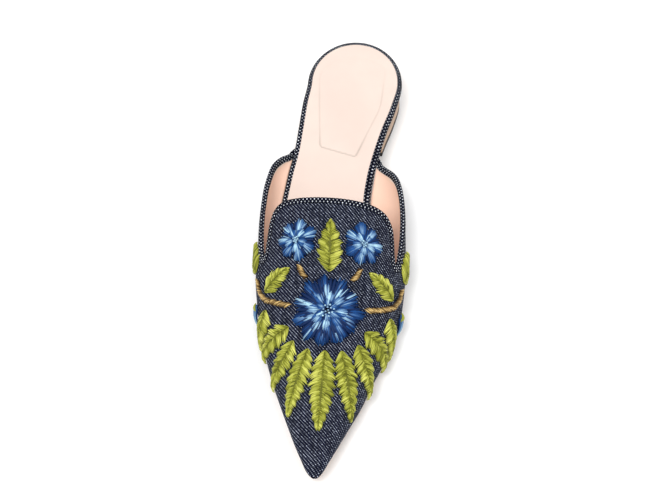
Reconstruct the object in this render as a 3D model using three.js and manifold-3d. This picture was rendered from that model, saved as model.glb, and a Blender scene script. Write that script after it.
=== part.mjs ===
// A woman's pointed mule for the right foot: a denim upper with a square-cut tab, a bound top line and
// raised embroidery, on a denim-edged leather footbed, a thin leather sole and a low stacked heel.
// Millimetres, +Z up. The toe points along -Y, the big-toe side is +X, and the sole stands on Z = 0.
import * as THREE from "three";
import { mergeVertices } from "three/addons/utils/BufferGeometryUtils.js";
import Module from "manifold-3d";

const wasm = await Module();
wasm.setup();

// Driving dimensions
const UPPER_TIP = 279;        // from the back of the heel to the tip of the upper
const SOLE_TIP = 277.5;       // the same, to the tip of the sole
const TOE_ROUND = 271;        // where the straight taper of the toe turns into its rounded tip
const HEEL_ROUND = 30;        // depth of the half oval at the back of the heel
const HEEL_HALF_WIDTH = 28.2; // to the outside of the denim band
const HEEL_SHIFT = 1.7;       // the heel's middle lies this far to the big-toe side of the axis
const SOLE_THICKNESS = 3;
const SOLE_INSET_HEEL = 1;    // the sole's edge, in from the footbed's at the heel
const SOLE_INSET_TOE = -0.8;  // and outside it at the ball and the toe
const FOOTBED_THICKNESS = 4.7;
const FOOTBED_THIN = 2.2;     // its thickness inside the toe
const WALL = 2;               // denim, stiffener and lining together
const GAP = 0.3;              // between pieces that meet
const EDGE_BAND = 3;          // width of the denim band round the footbed
const BAND_END = 160;         // where the band ends on each side, inside the upper
const TAPE_RISE = 2.6;        // how far the top line's tape stands above the wall
const TAPE_WIDTH = 3;
const HEEL_FRONT = 65;        // where the heel's front face stands, from its back
const HEEL_INSET = 1.6;       // the heel's walls, in from the footbed's edge
const TOP_PIECE = 4;          // thickness of the rubber under the heel
const THREAD_LIFT = 0.5;      // underside of the embroidery above the denim
const EDGE_TURN = 0.12;       // turn from the sole up to the widest line of the wall
const CENTRE_X = 2.28;        // from the axis through the toe and heel to the middle of the whole width
const UPPER_START = 79.7;     // the back of the upper's sides, where the tape meets the sole
const HOLLOW_END = 277.5;     // where the hollow inside the upper ends
const CUT_REACH = 6;          // how far cutting solids stand out of the wall
const CUT_MARGIN = 1.3;       // how far short of the top edge the mouth is first cut
const TURN_SCALE = 150;       // about a section's length in millimetres, so that the map is nearly true

// The footbed's outline and the height of the sole's top face, from the heel's half oval to the toe.
// back: from the heel's back. lateral and medial: the two edges from the axis.
// seat: the sole's top face above the floor.
const FOOTBED = [
  { back: 0, lateral: -26.5, medial: 29.9, seat: 19.5 },
  { back: 30, lateral: -26.5, medial: 29.9, seat: 19 },
  { back: 45, lateral: -28.2, medial: 27.4, seat: 18.3 },
  { back: 60, lateral: -29.1, medial: 23.3, seat: 17 },
  { back: 75, lateral: -30.2, medial: 20, seat: 14.7 },
  { back: 90, lateral: -32.6, medial: 17.6, seat: 11.9 },
  { back: 104, lateral: -34.4, medial: 16.6, seat: 9.3 },
  { back: 118, lateral: -36.2, medial: 18.9, seat: 6.9 },
  { back: 132, lateral: -38.6, medial: 24.5, seat: 5 },
  { back: 145, lateral: -40.9, medial: 31.3, seat: 3.7 },
  { back: 160, lateral: -41, medial: 36.1, seat: 3 },
  { back: 175, lateral: -39.2, medial: 36.9, seat: 3 },
  { back: 190, lateral: -36.2, medial: 34.3, seat: 3 },
  { back: 205, lateral: -32, medial: 30, seat: 3.3 },
  { back: 220, lateral: -27.3, medial: 24.6, seat: 4 },
  { back: 235, lateral: -21.1, medial: 19.3, seat: 5 },
  { back: 250, lateral: -14.8, medial: 13, seat: 6.4 },
  { back: 262, lateral: -9.5, medial: 8, seat: 7.9 },
  { back: 271, lateral: -5.2, medial: 4.3, seat: 9.2 },
];

// The upper's sections. lateral and medial: the widest line.
// rise: its height above the sole's top face.
// crown and ridge: height and place of the section's top. fullness: 2 is an ellipse, more is squarer.
const UPPER = [
  { back: 68, lateral: -31, medial: 20, rise: 6, crown: 66, ridge: -3, fullness: 2.4 },
  { back: 77, lateral: -33.5, medial: 20.8, rise: 8, crown: 64.5, ridge: -3, fullness: 2.4 },
  { back: 82, lateral: -38.3, medial: 24.2, rise: 9.8, crown: 63.8, ridge: -3, fullness: 2.4 },
  { back: 90, lateral: -41.9, medial: 30.5, rise: 12, crown: 62.5, ridge: -3, fullness: 2.4 },
  { back: 100, lateral: -43.5, medial: 34.3, rise: 13.5, crown: 61, ridge: -2.8, fullness: 2.4 },
  { back: 112, lateral: -44.5, medial: 37, rise: 14.6, crown: 58.2, ridge: -2.7, fullness: 2.4 },
  { back: 127, lateral: -44.9, medial: 39, rise: 14.7, crown: 54, ridge: -2.5, fullness: 2.4 },
  { back: 145, lateral: -45, medial: 40.4, rise: 12.7, crown: 47.7, ridge: -1.9, fullness: 2.35 },
  { back: 160, lateral: -44.6, medial: 41, rise: 10.6, crown: 42.1, ridge: -1.2, fullness: 2.3 },
  { back: 175, lateral: -42.5, medial: 40.4, rise: 9.2, crown: 36.8, ridge: -0.6, fullness: 2.25 },
  { back: 190, lateral: -39.5, medial: 37.3, rise: 8.2, crown: 32, ridge: -0.2, fullness: 2.2 },
  { back: 205, lateral: -35.1, medial: 33.2, rise: 7.3, crown: 27.8, ridge: 0, fullness: 2.15 },
  { back: 220, lateral: -30.1, medial: 27.4, rise: 6.4, crown: 24.4, ridge: 0, fullness: 2.13 },
  { back: 235, lateral: -24, medial: 22.3, rise: 5.6, crown: 21.6, ridge: 0, fullness: 2.1 },
  { back: 250, lateral: -17.5, medial: 15.8, rise: 4.9, crown: 19.3, ridge: 0, fullness: 2.1 },
  { back: 262, lateral: -12.1, medial: 10.7, rise: 4.4, crown: 17.9, ridge: 0, fullness: 2.1 },
  { back: 271, lateral: -7.6, medial: 6.8, rise: 4, crown: 16.7, ridge: 0, fullness: 2.1 },
];

// The wall's cut top edge, from the outer quarter over the tab to the inner quarter.
// turn: 0 at the outer edge of the sole, 0.5 on the crown, 1 at the inner edge.
const TOP_EDGE = [
  { back: 74, turn: -0.025 },
  { back: 77, turn: 0.004 },
  { back: 79.5, turn: 0.04 },
  { back: 83, turn: 0.072 },
  { back: 88, turn: 0.094 },
  { back: 96, turn: 0.114 },
  { back: 108, turn: 0.132 },
  { back: 122, turn: 0.151 },
  { back: 136, turn: 0.174 },
  { back: 147, turn: 0.197 },
  { back: 153, turn: 0.213 },
  { back: 156.7, turn: 0.228 },
  { back: 158.2, turn: 0.248 },
  { back: 156.4, turn: 0.268 },
  { back: 152, turn: 0.279 },
  { back: 145, turn: 0.287 },
  { back: 138, turn: 0.297 },
  { back: 132.8, turn: 0.317 },
  { back: 130.2, turn: 0.35 },
  { back: 129.5, turn: 0.4 },
  { back: 129.3, turn: 0.45 },
  { back: 129.2, turn: 0.5 },
  { back: 129.5, turn: 0.55 },
  { back: 130.1, turn: 0.6 },
  { back: 131.2, turn: 0.646 },
  { back: 133.8, turn: 0.683 },
  { back: 138.5, turn: 0.706 },
  { back: 145, turn: 0.715 },
  { back: 152, turn: 0.721 },
  { back: 156.4, turn: 0.731 },
  { back: 158.2, turn: 0.751 },
  { back: 156.7, turn: 0.771 },
  { back: 153, turn: 0.786 },
  { back: 147, turn: 0.802 },
  { back: 136, turn: 0.825 },
  { back: 122, turn: 0.848 },
  { back: 108, turn: 0.866 },
  { back: 98, turn: 0.884 },
  { back: 91, turn: 0.908 },
  { back: 86, turn: 0.936 },
  { back: 82.5, turn: 0.966 },
  { back: 80, turn: 0.997 },
  { back: 77, turn: 1.025 },
];

// Embroidery: a symmetrical spray on the upper's own map. across: along the skin from the crown line.
// Everything but the middle bloom and the two middle leaves is worked once on each side.
const MIDDLE_LEAVES = {
  leaf_middle: { base: [0, 166.5], tip: [0, 138], half: 6.6 },
  leaf_toe: { base: [0, 209], tip: [0, 256], half: 6.6 },
};
const PAIRED_LEAVES = [
  { base: [48.5, 161], tip: [58, 140], half: 6 },
  { base: [38, 175.5], tip: [22.5, 164.5], half: 5.2 },
  { base: [37, 185], tip: [47, 204], half: 6 },
  { base: [21.5, 196.5], tip: [42, 211], half: 6 },
  { base: [18.2, 204], tip: [31.5, 229.5], half: 5.4 },
  { base: [9.3, 208.5], tip: [18.2, 247], half: 5.6 },
];
const PAIRED_BUD = { base: [47, 178], tip: [53, 189], half: 4 };
const PAIRED_STEMS = {
  stem_upper: [[12.5, 171], [15.5, 167.5], [17.5, 162.5]],
  stem_outer: [[20.5, 185.5], [29, 183], [37.5, 179.5], [43.5, 173], [47, 164]],
};
const BLOOMS = {
  bloom_middle: { across: 0, back: 187.5, petals: 11, reach: 19.5, height: 2.4 },
  bloom_lateral: { across: -19, back: 150, petals: 7, reach: 11.2, height: 2.4 },
  bloom_medial: { across: 19, back: 150, petals: 7, reach: 11.2, height: 2.4 },
};
const STEM_HALF = 1.3;
const STEM_HEIGHT = 1.4;
const LEAF_HEIGHT = 1.5;
const SIDES = { lateral: -1, medial: 1 };

// A smooth column of a table: monotone cubic between its rows, flat beyond them.
function column(rows, key) {
  const slopes = rows.map((row, i) => {
    if (i === 0 || i === rows.length - 1) return 0;
    const before = row.back - rows[i - 1].back;
    const after = rows[i + 1].back - row.back;
    const slopeBefore = (row[key] - rows[i - 1][key]) / before;
    const slopeAfter = (rows[i + 1][key] - row[key]) / after;
    if (slopeBefore * slopeAfter <= 0) return 0;
    const weightBefore = 2 * after + before;
    const weightAfter = after + 2 * before;
    return (weightBefore + weightAfter) / (weightBefore / slopeBefore + weightAfter / slopeAfter);
  });
  const last = rows.length - 1;
  const lean = (i, j) => (rows[j][key] - rows[i][key]) / (rows[j].back - rows[i].back);
  slopes[0] = lean(0, 1);
  slopes[last] = lean(last - 1, last);
  return (back) => {
    const at = THREE.MathUtils.clamp(back, rows[0].back, rows[last].back);
    let i = 0;
    while (i < last - 1 && at > rows[i + 1].back) i++;
    const span = rows[i + 1].back - rows[i].back;
    const t = (at - rows[i].back) / span;
    const start = (1 + 2 * t) * (1 - t) ** 2 * rows[i][key] + t * (1 - t) ** 2 * span * slopes[i];
    const end = t * t * (3 - 2 * t) * rows[i + 1][key] + t * t * (t - 1) * span * slopes[i + 1];
    return start + end;
  };
}
const columns = (rows) =>
  Object.fromEntries(Object.keys(rows[0]).map((key) => [key, column(rows, key)]));
const footbed = columns(FOOTBED);
const upper = columns(UPPER);

// How much of the section at the start of the toe's rounding is left: 1 there, 0 at the tip.
const toeShare = (back, tip) => Math.sqrt(THREE.MathUtils.clamp((tip - back) / (tip - TOE_ROUND), 0, 1));

// The footbed's edge on one side (-1 outer, +1 big-toe side), moved in by inset.
function footbedEdge(back, side, inset = 0) {
  if (back < HEEL_ROUND) {
    const reach = Math.min(1, (HEEL_ROUND - back) / (HEEL_ROUND - inset));
    return HEEL_SHIFT + side * (HEEL_HALF_WIDTH - inset) * Math.sqrt(1 - reach * reach);
  }
  const edge = side < 0 ? footbed.lateral : footbed.medial;
  const slope = edge(back + 0.5) - edge(back - 0.5);
  const full = edge(back) - side * inset * Math.sqrt(1 + slope * slope);
  return full * toeShare(back, SOLE_TIP);
}

// A point of the upper's outer face. Turns past the sole's edge run inwards, level with it.
function face(back, turn) {
  const side = turn < 0.5 ? -1 : 1;
  const climb = side < 0 ? turn : 1 - turn;
  const share = toeShare(back, UPPER_TIP);
  const seat = footbed.seat(back) + GAP;
  const wide = (side < 0 ? upper.lateral(back) : upper.medial(back)) * share;
  const edge = side < 0 ? footbed.lateral(back) : footbed.medial(back);
  const sole = (edge + side * GAP) * share;
  const rise = upper.rise(back) * share;
  if (climb < 0) return new THREE.Vector3(sole + side * climb * 100, -back, seat);
  if (climb < EDGE_TURN) {
    const angle = ((climb / EDGE_TURN) * Math.PI) / 2;
    const x = sole + (wide - sole) * Math.sin(angle);
    return new THREE.Vector3(x, -back, seat + rise * (1 - Math.cos(angle)));
  }
  const angle = (((climb - EDGE_TURN) / (0.5 - EDGE_TURN)) * Math.PI) / 2;
  const power = 2 / upper.fullness(back);
  const ridge = upper.ridge(back);
  const crown = (upper.crown(back) - seat) * share;
  const x = ridge + (wide - ridge) * Math.max(0, Math.cos(angle)) ** power;
  return new THREE.Vector3(x, -back, seat + rise + (crown - rise) * Math.sin(angle) ** power);
}

// The outward normal of that face, and the face moved out along it.
function faceNormal(back, turn) {
  const step = 0.004;
  const reach = 0.4;
  const at = THREE.MathUtils.clamp(turn, step, 1 - step);
  const across = face(back, at + step).sub(face(back, at - step));
  const along = face(back + reach, at).sub(face(back - reach, at));
  return along.cross(across).normalize();
}
const skin = (back, turn, out) =>
  face(back, turn).addScaledVector(faceNormal(back, turn), out);

// A solid from rings of points, each with the same count. Each end is closed by zigzagging between the
// first and last points of its ring, which suits arches, bands and rings that fold back along themselves.
function loft(rings) {
  const count = rings[0].length;
  const positions = rings.flat().flatMap((point) => [point.x, point.y, point.z]);
  const triangles = [];
  for (let r = 0; r < rings.length - 1; r++)
    for (let i = 0; i < count; i++) {
      const j = (i + 1) % count;
      const [a, b, c, d] = [r * count + i, r * count + j, (r + 1) * count + j, (r + 1) * count + i];
      triangles.push(a, b, c, a, c, d);
    }
  const cap = (start, flip) => {
    const corner = (a, b, c) => {
      const order = flip ? [a, c, b] : [a, b, c];
      triangles.push(...order.map((point) => start + point));
    };
    for (let low = 0, high = count - 1; low + 1 < high; ) {
      corner(low, low + 1, high);
      low += 1;
      if (low + 1 < high) corner(low, high - 1, high);
      high -= 1;
    }
  };
  cap(0, true);
  cap((rings.length - 1) * count, false);
  return solidOf(positions, triangles);
}

// A manifold solid from bare positions and triangles, whichever way round they were wound.
function solidOf(positions, triangles) {
  const geometry = new THREE.BufferGeometry();
  geometry.setAttribute("position", new THREE.Float32BufferAttribute(positions, 3));
  geometry.setIndex(triangles);
  const merged = mergeVertices(geometry, 1e-4);
  const index = [];
  for (let i = 0; i < merged.index.count; i += 3) {
    const corner = [0, 1, 2].map((k) => merged.index.getX(i + k));
    if (new Set(corner).size === 3) index.push(...corner);
  }
  const make = (order) =>
    new wasm.Manifold(
      new wasm.Mesh({
        numProp: 3,
        vertProperties: merged.attributes.position.array,
        triVerts: new Uint32Array(order),
      }),
    );
  const made = make(index);
  if (made.volume() > 0) return made;
  const turned = [];
  for (let i = 0; i < index.length; i += 3) turned.push(index[i], index[i + 2], index[i + 1]);
  return make(turned);
}

const spread = (from, to, count) =>
  Array.from({ length: count + 1 }, (_, i) => from + ((to - from) * i) / count);

// Stations from the heel to the toe, close together where the outline turns.
function stations(from, tip, coarse) {
  const heel = from < HEEL_ROUND
    ? spread(0.03, 1, 9).map((t) => HEEL_ROUND - (HEEL_ROUND - from) * Math.cos((t * Math.PI) / 2))
    : [from];
  const start = heel[heel.length - 1];
  const middle = spread(start, TOE_ROUND, Math.ceil((TOE_ROUND - start) / coarse)).slice(1);
  const toe = spread(0, 0.96, 5).slice(1).map((t) => tip - (tip - TOE_ROUND) * (1 - t) ** 2);
  return [...heel, ...middle, ...toe];
}

// A flat layer of the shoe: its two edges and its two faces are functions of the station.
const slab = (backs, edge, bottom, top) =>
  loft(
    backs.map((back) => {
      const [left, right] = [edge(back, -1), edge(back, 1)];
      return [
        new THREE.Vector3(left, -back, bottom(back)),
        new THREE.Vector3(right, -back, bottom(back)),
        new THREE.Vector3(right, -back, top(back)),
        new THREE.Vector3((left + right) / 2, -back, top(back)),
        new THREE.Vector3(left, -back, top(back)),
      ];
    }),
  );

// The sole's edge: under the footbed at the back, and outside the footbed's line at the ball and toe.
function soleEdge(back, side) {
  const blend = THREE.MathUtils.smoothstep(back, 75, 150);
  if (back < HEEL_ROUND) return footbedEdge(back, side, SOLE_INSET_HEEL);
  return footbedEdge(back, side, THREE.MathUtils.lerp(SOLE_INSET_HEEL, SOLE_INSET_TOE, blend));
}

const makeOutsole = () =>
  slab(
    stations(SOLE_INSET_HEEL, SOLE_TIP, 7),
    soleEdge,
    (back) => footbed.seat(back) - SOLE_THICKNESS,
    (back) => footbed.seat(back),
  );

// The insole fills the footbed inside its denim band, and reaches the upper where the band ends.
function makeInsole() {
  const inset = EDGE_BAND + GAP;
  const edge = (back, side) => {
    const open = THREE.MathUtils.smoothstep(back, BAND_END + 1, BAND_END + 6);
    return footbedEdge(back, side, back < HEEL_ROUND ? inset : THREE.MathUtils.lerp(inset, 2 * GAP, open));
  };
  const thinned = (back) => THREE.MathUtils.smoothstep(back, BAND_END, 215);
  const thickness = (back) => THREE.MathUtils.lerp(FOOTBED_THICKNESS, FOOTBED_THIN, thinned(back));
  const backs = stations(inset, SOLE_TIP - 4, 7).filter((back) => back < SOLE_TIP - 5);
  const seat = (back) => footbed.seat(back) + GAP;
  return slab(backs, edge, seat, (back) => seat(back) + thickness(back));
}

// The denim band: a half-round section carried round the footbed from one side of the ball to the other.
function makeFootbedBand() {
  const profile = [
    [-EDGE_BAND, 0],
    [-0.9, 0],
    [-0.1, 1.1],
    [0, 2.4],
    [-0.7, 3.7],
    [-1.8, 4.55],
    [-EDGE_BAND, 4.85],
  ];
  const half = spread(0, 1, 9).slice(1).map((t) => HEEL_ROUND * (1 - Math.cos((t * Math.PI) / 2)));
  const sideStops = [...half, ...spread(HEEL_ROUND, BAND_END, 19).slice(1)];
  const edgePoint = (back, side) =>
    new THREE.Vector3(footbedEdge(back, side), -back, footbed.seat(back) + GAP);
  const path = [
    ...[...sideStops].reverse().map((back) => edgePoint(back, -1)),
    new THREE.Vector3(HEEL_SHIFT, 0, footbed.seat(0) + GAP),
    ...sideStops.map((back) => edgePoint(back, 1)),
  ];
  return loft(
    path.map((point, i) => {
      const along = path[Math.min(i + 1, path.length - 1)].clone().sub(path[Math.max(i - 1, 0)]);
      const outward = new THREE.Vector3(-along.y, along.x, 0).normalize();
      return profile.map(([out, up]) =>
        point.clone().addScaledVector(outward, out).add(new THREE.Vector3(0, 0, up)));
    }),
  );
}

// The stacked heel and the rubber under it follow the sole's outline.
function heelLayer(bottom, top) {
  const backs = stations(HEEL_INSET, SOLE_TIP, 7)
    .filter((back) => back < HEEL_FRONT - 3)
    .concat(HEEL_FRONT);
  return slab(backs, (back, side) => footbedEdge(back, side, HEEL_INSET), bottom, top);
}
const makeHeel = () =>
  heelLayer(() => TOP_PIECE + GAP, (back) => footbed.seat(back) - SOLE_THICKNESS - GAP);
const makeTopPiece = () => heelLayer(() => 0, () => TOP_PIECE);

// The top edge as one smooth line of { back, turn }, with places picked close together where it bends.
const topLine = new THREE.CatmullRomCurve3(
  TOP_EDGE.map(({ back, turn }) => new THREE.Vector3(back, turn * TURN_SCALE, 0)),
  false,
  "centripetal",
);
const topSamples = topLine.getSpacedPoints(900);
const headings = topSamples.map((point, i) => {
  const along = topSamples[Math.min(i + 1, 900)].clone().sub(topSamples[Math.max(i - 1, 0)]);
  return Math.atan2(along.y, along.x);
});
const onMap = (point) => ({ back: point.x, turn: point.y / TURN_SCALE });
function topPicks(bend, stride) {
  const picks = [0];
  for (let i = 1; i < topSamples.length; i++) {
    const last = picks[picks.length - 1];
    const turned = Math.abs(headings[i] - headings[last]);
    const walked = topSamples[i].distanceTo(topSamples[last]);
    if (turned > bend || walked > stride || i === topSamples.length - 1) picks.push(i);
  }
  return picks.map((i) => onMap(topSamples[i]));
}

// The mouth is first cut a little short of that line, and the tape's own sweep then trims it. That cut
// has four runs: up the outer quarter to its notch, back along the tab, over to the inner notch, and down.
const cutSamples = topSamples.map((point, i) =>
  onMap(point.clone().add(
    new THREE.Vector3(-Math.sin(headings[i]), Math.cos(headings[i]), 0).multiplyScalar(CUT_MARGIN),
  )));
const deepest = (samples) => samples.reduce((a, b) => (b.back > a.back ? b : a));
const shallowest = (samples) => samples.reduce((a, b) => (b.back < a.back ? b : a));
const outerNotch = deepest(cutSamples.filter(({ turn }) => turn < 0.5));
const innerNotch = deepest(cutSamples.filter(({ turn }) => turn > 0.5));
const throat = shallowest(cutSamples.filter(({ turn }) => turn > 0.4 && turn < 0.6));
const runTo = (first, last) => {
  const run = cutSamples.slice(cutSamples.indexOf(first), cutSamples.indexOf(last) + 1);
  const rising = run[0].back < run[run.length - 1].back ? run : [...run].reverse();
  return (back) => {
    const next = rising.findIndex((sample) => sample.back >= back);
    if (next <= 0) return rising[next < 0 ? rising.length - 1 : 0].turn;
    const [a, b] = [rising[next - 1], rising[next]];
    return THREE.MathUtils.mapLinear(back, a.back, b.back, a.turn, b.turn);
  };
};
const outerQuarter = runTo(cutSamples[0], outerNotch);
const tabOuter = runTo(outerNotch, throat);
const tabInner = runTo(throat, innerNotch);
const innerQuarter = runTo(innerNotch, cutSamples[cutSamples.length - 1]);

// A thick curved band between two turns, along a run of stations: what is cut out of the upper.
function cutBand(backs, fromTurn, toTurn, steps) {
  return loft(
    backs.map((back) => {
      const turns = spread(fromTurn(back), toTurn(back), steps);
      return [
        ...turns.map((turn) => skin(back, turn, CUT_REACH)),
        ...turns.reverse().map((turn) => skin(back, turn, -CUT_REACH)),
      ];
    }),
  );
}

// The room that the footbed and its band take up, with a gap round it.
const makeFootbedSpace = () =>
  slab(
    spread(62, 162, 14),
    (back, side) => footbedEdge(back, side, -GAP),
    (back) => footbed.seat(back) - 10,
    (back) => footbed.seat(back) + FOOTBED_THICKNESS + 2 * GAP,
  );

// A profile of { out, rise } points swept along the top edge, on the middle of the wall.
const sweepTopEdge = (picks, profile) => {
  const middle = picks.map(({ back, turn }) => skin(back, turn, -WALL / 2));
  const last = picks.length - 1;
  return loft(
    middle.map((point, i) => {
      const along = middle[Math.min(i + 1, last)].clone().sub(middle[Math.max(i - 1, 0)]).normalize();
      const normal = faceNormal(picks[i].back, picks[i].turn);
      const up = normal.clone().cross(along).normalize();
      return profile.map(([out, rise]) =>
        point.clone().addScaledVector(normal, out).addScaledVector(up, rise));
    }),
  );
};
const EDGE_PLACES = topPicks(0.27, 6.5);

// The upper: the last's outer form, less its hollow, less the mouth above the top edge.
const ARCH = spread(0, 1, 28);
function archBacks(from, to) {
  const body = spread(from, TOE_ROUND, Math.ceil((TOE_ROUND - from) / 7.2));
  const toe = spread(0, 0.96, 5).slice(1).map((t) => UPPER_TIP - (UPPER_TIP - TOE_ROUND) * (1 - t) ** 2);
  return [...body, ...toe].filter((back) => back < to).concat(to === UPPER_TIP ? [] : [to]);
}
function makeUpper() {
  const shell = archBacks(UPPER_START, UPPER_TIP);
  const outer = loft(shell.map((back) => ARCH.map((turn) => face(back, turn))));
  const hollow = loft(
    archBacks(UPPER_START - 3, HOLLOW_END).map((back) => {
      const arch = ARCH.map((turn) => skin(back, turn, -WALL));
      const below = (turn) =>
        new THREE.Vector3(face(back, turn).x, -back, footbed.seat(back) - CUT_REACH);
      return [below(0), ...arch, below(1)];
    }),
  );
  const mouth = cutBand(spread(UPPER_START - 8, throat.back, 12), outerQuarter, innerQuarter, 28);
  const eased = (count) => spread(0, 1, count).map((t) => 0.5 - 0.5 * Math.cos(t * Math.PI));
  const overlap = 1.5;
  const notchBacks = (notch) =>
    eased(11).map((t) => THREE.MathUtils.lerp(throat.back - overlap, notch.back - 0.1, t));
  const outerGap = cutBand(notchBacks(outerNotch), outerQuarter, tabOuter, 6);
  const innerGap = cutBand(notchBacks(innerNotch), tabInner, innerQuarter, 6);
  const reach = WALL / 2 + 1;
  const above = TAPE_RISE;
  const trim = sweepTopEdge(EDGE_PLACES, [[-reach, 0], [reach, 0], [reach, above], [-reach, above]]);
  return [hollow, mouth, outerGap, innerGap, trim, makeFootbedSpace()]
    .reduce((wall, cut) => wall.subtract(cut), outer);
}

// The tape that binds the top edge: a rounded bead, cut off where it meets the footbed and the sole.
function makeTape() {
  const h = TAPE_WIDTH / 2;
  const shoulder = TAPE_RISE * 0.62;
  const profile = [
    [-h, GAP],
    [h, GAP],
    [h, shoulder],
    [h * 0.5, TAPE_RISE],
    [-h * 0.5, TAPE_RISE],
    [-h, shoulder],
  ];
  const soleSpace = slab(
    spread(60, 120, 8),
    (back, side) => footbedEdge(back, side, -20),
    (back) => footbed.seat(back) - 12,
    (back) => footbed.seat(back) + GAP,
  );
  return sweepTopEdge(EDGE_PLACES, profile).subtract(makeFootbedSpace()).subtract(soleSpace);
}

// The turn that lies a given distance along the skin from the crown line.
function turnAt(back, across) {
  const side = Math.sign(across) || 1;
  const step = 0.004;
  let walked = 0;
  let turn = 0.5;
  let point = face(back, turn);
  while (walked < Math.abs(across) && turn > 0 && turn < 1) {
    const next = face(back, turn + side * step);
    const stride = next.distanceTo(point);
    if (walked + stride > Math.abs(across))
      return turn + side * step * ((Math.abs(across) - walked) / stride);
    walked += stride;
    turn += side * step;
    point = next;
  }
  return turn;
}
const onSkin = ([across, back], out) => skin(back, turnAt(back, across), out);

// A raised leaf or bud: a pointed oval from base to tip, domed along its middle.
function makePad(base, tip, half, height) {
  const [from, to] = [new THREE.Vector2(...base), new THREE.Vector2(...tip)];
  const side = to.clone().sub(from).normalize();
  side.set(-side.y, side.x);
  const edge = height * 0.55 + THREAD_LIFT;
  const top = height + THREAD_LIFT;
  return loft(
    spread(0.02, 0.985, 6).map((t) => {
      const middle = from.clone().lerp(to, t);
      const width = half * Math.sin(Math.PI * t ** 0.75) ** 0.8;
      const place = (share) => middle.clone().addScaledVector(side, share * width).toArray();
      return [
        onSkin(place(-1), THREAD_LIFT),
        onSkin(place(0), THREAD_LIFT),
        onSkin(place(1), THREAD_LIFT),
        onSkin(place(1), edge),
        onSkin(place(0), top),
        onSkin(place(-1), edge),
      ];
    }),
  );
}

// A round bloom: a lobed disc that follows the skin below and rises over each petal above.
// ring: share of the radius. lift: share of the height.
const BLOOM_RINGS = [
  { ring: 0.04, lift: 0 },
  { ring: 0.5, lift: 0 },
  { ring: 0.97, lift: 0 },
  { ring: 1, lift: 0.5 },
  { ring: 0.82, lift: 0.95 },
  { ring: 0.45, lift: 0.75 },
  { ring: 0.2, lift: 1 },
  { ring: 0.03, lift: 1 },
];
const POINTS_PER_PETAL = 5;
function makeBloom({ across, back, petals, reach, height }) {
  const angles = spread(0, 2 * Math.PI, petals * POINTS_PER_PETAL).slice(1);
  return loft(
    BLOOM_RINGS.map(({ ring, lift }) =>
      angles.map((angle) => {
        const lobe = Math.abs(Math.cos((angle * petals) / 2)) ** 0.7;
        const radius = reach * ring * THREE.MathUtils.lerp(1, 0.8 + 0.2 * lobe, ring);
        const spot = [across + radius * Math.cos(angle), back + radius * Math.sin(angle)];
        return onSkin(spot, THREAD_LIFT + height * lift * (0.75 + 0.25 * lobe));
      })),
  );
}

// The stem: a half-round cord laid along its points.
function makeStem(route, side) {
  const steps = 10;
  const curve = new THREE.CatmullRomCurve3(route.map(([a, b]) => new THREE.Vector3(a * side, b, 0)));
  const points = curve.getSpacedPoints(steps).map((p) => new THREE.Vector2(p.x, p.y));
  return loft(
    points.map((point, i) => {
      const along = points[Math.min(i + 1, steps)].clone().sub(points[Math.max(i - 1, 0)]).normalize();
      const place = (share) => [point.x - along.y * share, point.y + along.x * share];
      return [
        onSkin(place(-STEM_HALF), THREAD_LIFT),
        onSkin(place(STEM_HALF), THREAD_LIFT),
        onSkin(place(STEM_HALF * 0.75), THREAD_LIFT + STEM_HEIGHT * 0.7),
        onSkin(place(0), THREAD_LIFT + STEM_HEIGHT),
        onSkin(place(-STEM_HALF * 0.75), THREAD_LIFT + STEM_HEIGHT * 0.7),
      ];
    }),
  );
}

// Finishes
const finish = (color, roughness) => new THREE.MeshStandardMaterial({ color, roughness, metalness: 0 });
const DENIM = finish(0x1d2438, 0.9);
const NUDE_LEATHER = finish(0xf3d9c8, 0.5);
const SOLE_LEATHER = finish(0xc79b74, 0.55);
const STACKED_LEATHER = finish(0xa9794f, 0.5);
const RUBBER = finish(0x2b2622, 0.8);
const BLUE_THREAD = finish(0x2f5fae, 0.4);
const GREEN_THREAD = finish(0x9aa62f, 0.45);
const STEM_THREAD = finish(0x7a5a32, 0.5);

// The assembly
const shoe = new THREE.Group();
shoe.name = "mule";
function addPiece(name, solid, material) {
  const { vertProperties, triVerts, numProp } = solid.getMesh();
  const geometry = new THREE.BufferGeometry();
  const positions = new Float32Array((vertProperties.length / numProp) * 3);
  for (let i = 0; i < positions.length / 3; i++)
    positions.set(vertProperties.subarray(i * numProp, i * numProp + 3), i * 3);
  geometry.setAttribute("position", new THREE.BufferAttribute(positions, 3));
  geometry.setIndex(new THREE.BufferAttribute(triVerts, 1));
  const mesh = new THREE.Mesh(geometry, material);
  mesh.name = name;
  shoe.add(mesh);
}

addPiece("outsole", makeOutsole(), SOLE_LEATHER);
addPiece("heel", makeHeel(), STACKED_LEATHER);
addPiece("heel_top_piece", makeTopPiece(), RUBBER);
addPiece("insole", makeInsole(), NUDE_LEATHER);
addPiece("footbed_band", makeFootbedBand(), DENIM);
addPiece("upper", makeUpper(), DENIM);
addPiece("topline_tape", makeTape(), DENIM);
for (const [name, bloom] of Object.entries(BLOOMS)) addPiece(name, makeBloom(bloom), BLUE_THREAD);
const makeLeaf = ({ base, tip, half }, side) =>
  makePad([base[0] * side, base[1]], [tip[0] * side, tip[1]], half, LEAF_HEIGHT);
for (const [name, leaf] of Object.entries(MIDDLE_LEAVES)) addPiece(name, makeLeaf(leaf, 1), GREEN_THREAD);
for (const [sideName, side] of Object.entries(SIDES)) {
  PAIRED_LEAVES.forEach((leaf, i) =>
    addPiece(`leaf_${sideName}_${i + 1}`, makeLeaf(leaf, side), GREEN_THREAD));
  addPiece(`bud_${sideName}`, makeLeaf(PAIRED_BUD, side), BLUE_THREAD);
  for (const [name, route] of Object.entries(PAIRED_STEMS))
    addPiece(`${name}_${sideName}`, makeStem(route, side), STEM_THREAD);
}

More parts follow.
